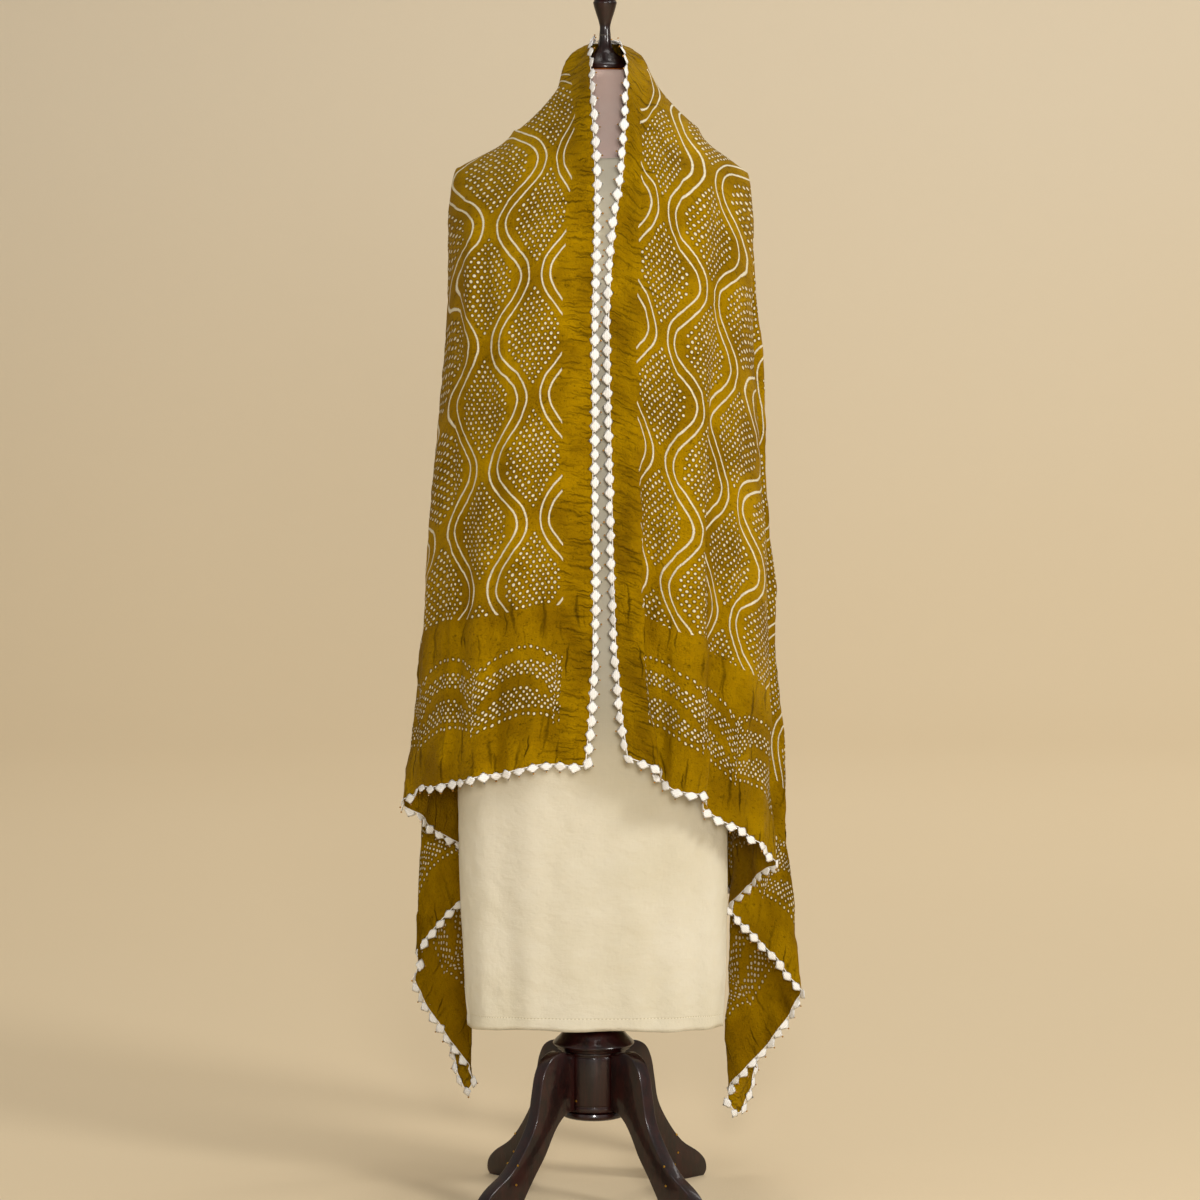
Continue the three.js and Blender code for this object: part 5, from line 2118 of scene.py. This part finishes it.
class Stand:
    """The turned column, collar, pole, cap and finial, and the four legs."""

    SPIN_STEPS = 64
    COLUMN_PIN = (44.0, 237.0, 140.0)  # mm from the axis, degrees round, height in mm

    def __init__(self, leg: LegSize) -> None:
        """Keeps the legs' sizes."""
        self.leg = leg

    def turned(self, turning: Turning) -> bpy.types.Object:
        """Spins one outline round its axis."""
        outline = turning.outline
        middle = list(outline[1:-1])
        points = [outline[0], *eased_outline(tuple(middle), turning.smooth), outline[-1]]
        x = AXIS[0] + turning.x * MM
        start = (x + points[0][0] * MM, AXIS[1], points[0][1] * MM)
        work = Modelling(turning.name, start)
        for radius, height in points[1:]:
            work.extrude_to((x + radius * MM, AXIS[1], height * MM))
        work.spin_round((x, AXIS[1], 0.0), self.SPIN_STEPS)
        return work.finish(turning.bevel * MM, 2, turning.angle)

    def leg_piece(self, number: int) -> bpy.types.Object:
        """Saws one leg out of its board and rounds its edges."""
        leg = self.leg
        angle = leg.turn + number * 2 * math.pi / leg.count
        away = (math.cos(angle), math.sin(angle))
        beside = (-math.sin(angle), math.cos(angle))
        outline = [(LEG_ROOT, LEG_TOP[1]), LEG_TOP, *eased_outline(LEG_OUTER, leg.curve_steps),
                   *eased_outline(LEG_INNER, leg.curve_steps)]

        def place(radius: float, height: float) -> Triple:
            """A point on the board's near face."""
            return (
                AXIS[0] + (radius * away[0] - leg.thickness / 2 * beside[0]) * MM,
                AXIS[1] + (radius * away[1] - leg.thickness / 2 * beside[1]) * MM,
                height * MM,
            )

        work = Modelling(f"stand_leg_{number + 1}", place(*outline[0]))
        for radius, height in outline[1:]:
            work.extrude_to(place(radius, height))
        work.fill_outline()
        work.extrude_by((beside[0] * leg.thickness * MM, beside[1] * leg.thickness * MM, 0.0))
        work.weld()
        return work.finish(leg.bevel * MM, 3, 50)

    def pins(self) -> bpy.types.Object:
        """The small brass pins: two in each leg's side and one in the column."""
        leg = self.leg
        places: list[tuple[Triple, float]] = []
        for number in range(leg.count):
            angle = leg.turn + number * 2 * math.pi / leg.count
            for radius, height in leg.pins:
                for side in (-1, 1):
                    off = side * leg.thickness / 2
                    x = radius * math.cos(angle) - off * math.sin(angle)
                    y = radius * math.sin(angle) + off * math.cos(angle)
                    places.append(((x, y, height), angle + side * math.pi / 2))
        radius, degrees, height = self.COLUMN_PIN
        turn = math.radians(degrees)
        places.append(((radius * math.cos(turn), radius * math.sin(turn), height), turn))
        deselect_all()
        made = []
        for (x, y, z), turn in places:
            bpy.ops.mesh.primitive_cylinder_add(
                vertices=16, radius=leg.pin_radius * MM, depth=leg.pin_depth * MM,
                location=(AXIS[0] + x * MM, AXIS[1] + y * MM, z * MM),
                rotation=(0, math.pi / 2, turn),
            )
            made.append(bpy.context.object)
        for piece in made:
            piece.select_set(True)
        bpy.context.view_layer.objects.active = made[0]
        bpy.ops.object.join()
        pins = bpy.context.object
        pins.name = "stand_pins"
        bpy.ops.object.transform_apply(location=True, rotation=True, scale=True)
        rounding = pins.modifiers.new("rounding", "BEVEL")
        rounding.width = leg.pin_bevel * MM
        rounding.segments = 3
        rounding.limit_method = "ANGLE"
        bpy.ops.object.modifier_apply(modifier=rounding.name)
        bpy.ops.object.shade_smooth_by_angle(angle=math.radians(50))
        return pins

    def build(self, shared: SharedEffects) -> None:
        """Builds and dresses every piece of the stand."""
        turned = MahoganyFinish("mahogany_turned").material(shared)
        sawn = MahoganyFinish("mahogany_sawn", lean=0.35).material(shared)
        for turning in TURNINGS:
            dress_piece(self.turned(turning), turned, "mahogany", [turning.node])
        for number in range(self.leg.count):
            dress_piece(self.leg_piece(number), sawn, "mahogany", [f"leg_{number + 1}"])
        thread = MetalFinish("copper_trim", "B5641E", "8A4312", 0.35, 0.6).material(shared)
        dress_piece(self.turned(CAP_RING), thread)
        brass = MetalFinish("pin_brass", "C79A3C", "8F6A22", 0.28).material(shared)
        dress_piece(self.pins(), brass)


# ---------------------------------------------------------------- the room
@dataclass(frozen=True)
class Lamp:
    """One soft area light, in metres about the stand's axis."""

    name: str
    place: Triple
    aim: Triple
    size: float
    power: float
    tint: Triple = (1.0, 1.0, 1.0)


LAMPS: tuple[Lamp, ...] = (
    Lamp("key", (3.4, -2.8, 2.5), (0.0, 0.0, 0.95), 1.1, 98.0, (1.0, 0.98, 0.95)),
    Lamp("front", (0.25, -5.3, 1.75), (0.0, 0.0, 1.1), 0.8, 116.0, (1.0, 0.98, 0.96)),
    Lamp("fill", (-3.6, -3.0, 1.6), (0.0, 0.0, 0.85), 2.6, 9.0, (1.0, 0.97, 0.93)),
    Lamp("top", (0.6, -0.2, 4.3), (0.0, 0.2, 0.8), 1.8, 22.0, (1.0, 0.98, 0.96)),
    Lamp("wall", (4.6, 3.4, 4.6), (1.6, 8.4, 1.6), 3.2, 96.0, (1.0, 0.98, 0.96)),
    Lamp("floor", (0.6, 4.2, 5.4), (0.2, 4.6, 0.0), 3.2, 84.0, (1.0, 0.98, 0.95)),
)


@dataclass(frozen=True)
class Studio:
    """The floor with its curved backdrop, the lights and the camera, in metres."""

    half_width: float = 12.0
    front: float = -9.0
    bend_start: float = 5.4
    bend_radius: float = 3.4
    top: float = 8.0
    bend_steps: int = 24
    camera_place: Triple = (0.0088, -5.85, 1.3015)
    camera_pitch: float = 4.653
    lens: float = 129.0
    sensor: float = 36.0  # mm
    room_tint: Colour = (1.0, 0.95, 0.88, 1.0)
    room_light: float = 0.34

    def backdrop(self, shared: SharedEffects) -> bpy.types.Object:
        """Lays the floor and raises its back in one curve."""
        deselect_all()
        y = self.front
        work = Modelling("backdrop", (-self.half_width, y, 0.0))
        for k in range(self.bend_steps + 1):
            angle = k / self.bend_steps * math.pi / 2
            y = self.bend_start + self.bend_radius * math.sin(angle)
            z = self.bend_radius * (1 - math.cos(angle))
            work.extrude_to((-self.half_width, y, z))
        work.extrude_to((-self.half_width, y, self.top))
        bpy.ops.mesh.select_all(action="SELECT")
        work.extrude_by((2 * self.half_width, 0.0, 0.0))
        work.weld()
        piece = work.finish(0.0)
        shade_smooth(piece)
        mesh = piece.data
        if sum(face.normal.z for face in mesh.polygons) < 0:
            mesh.flip_normals()
        piece.data.materials.append(BackdropFinish().material(shared))
        return piece

    def light(self) -> None:
        """Places the lamps and the soft light of the room."""
        for lamp in LAMPS:
            data = bpy.data.lights.new(lamp.name, "AREA")
            data.shape = "DISK"
            data.size = lamp.size
            data.energy = lamp.power
            data.color = lamp.tint
            piece = bpy.data.objects.new(lamp.name, data)
            bpy.context.scene.collection.objects.link(piece)
            place = Vector(lamp.place) + Vector(AXIS)
            piece.location = place
            aim = Vector(lamp.aim) + Vector(AXIS) - place
            piece.rotation_euler = aim.to_track_quat("-Z", "Y").to_euler()
        world = bpy.data.worlds.new("room")
        world.use_nodes = True
        background = world.node_tree.nodes["Background"]
        background.inputs["Color"].default_value = self.room_tint
        background.inputs["Strength"].default_value = self.room_light
        bpy.context.scene.world = world

    def camera(self) -> None:
        """Places the camera at the height of the chest, far off and looking slightly down."""
        data = bpy.data.cameras.new("camera")
        data.lens = self.lens
        data.sensor_width = self.sensor
        piece = bpy.data.objects.new("camera", data)
        bpy.context.scene.collection.objects.link(piece)
        piece.location = Vector(self.camera_place) + Vector(AXIS)
        piece.rotation_euler = (math.radians(90 - self.camera_pitch), 0.0, 0.0)
        bpy.context.scene.camera = piece
        bpy.context.scene.view_settings.view_transform = "Standard"


def main() -> None:
    shared = SharedEffects()
    plan = BandhaniPlan()
    Stand(LegSize()).build(shared)
    form = Form().build(shared)
    dress = Dress(DressSize()).build(shared)
    shawl = Shawl(ShawlSize(), plan).build(shared)
    edging = Edging(EdgingSize(), shawl).build(shared)
    studio = Studio()
    studio.backdrop(shared)
    studio.light()
    studio.camera()


if __name__ == "__main__":
    main()
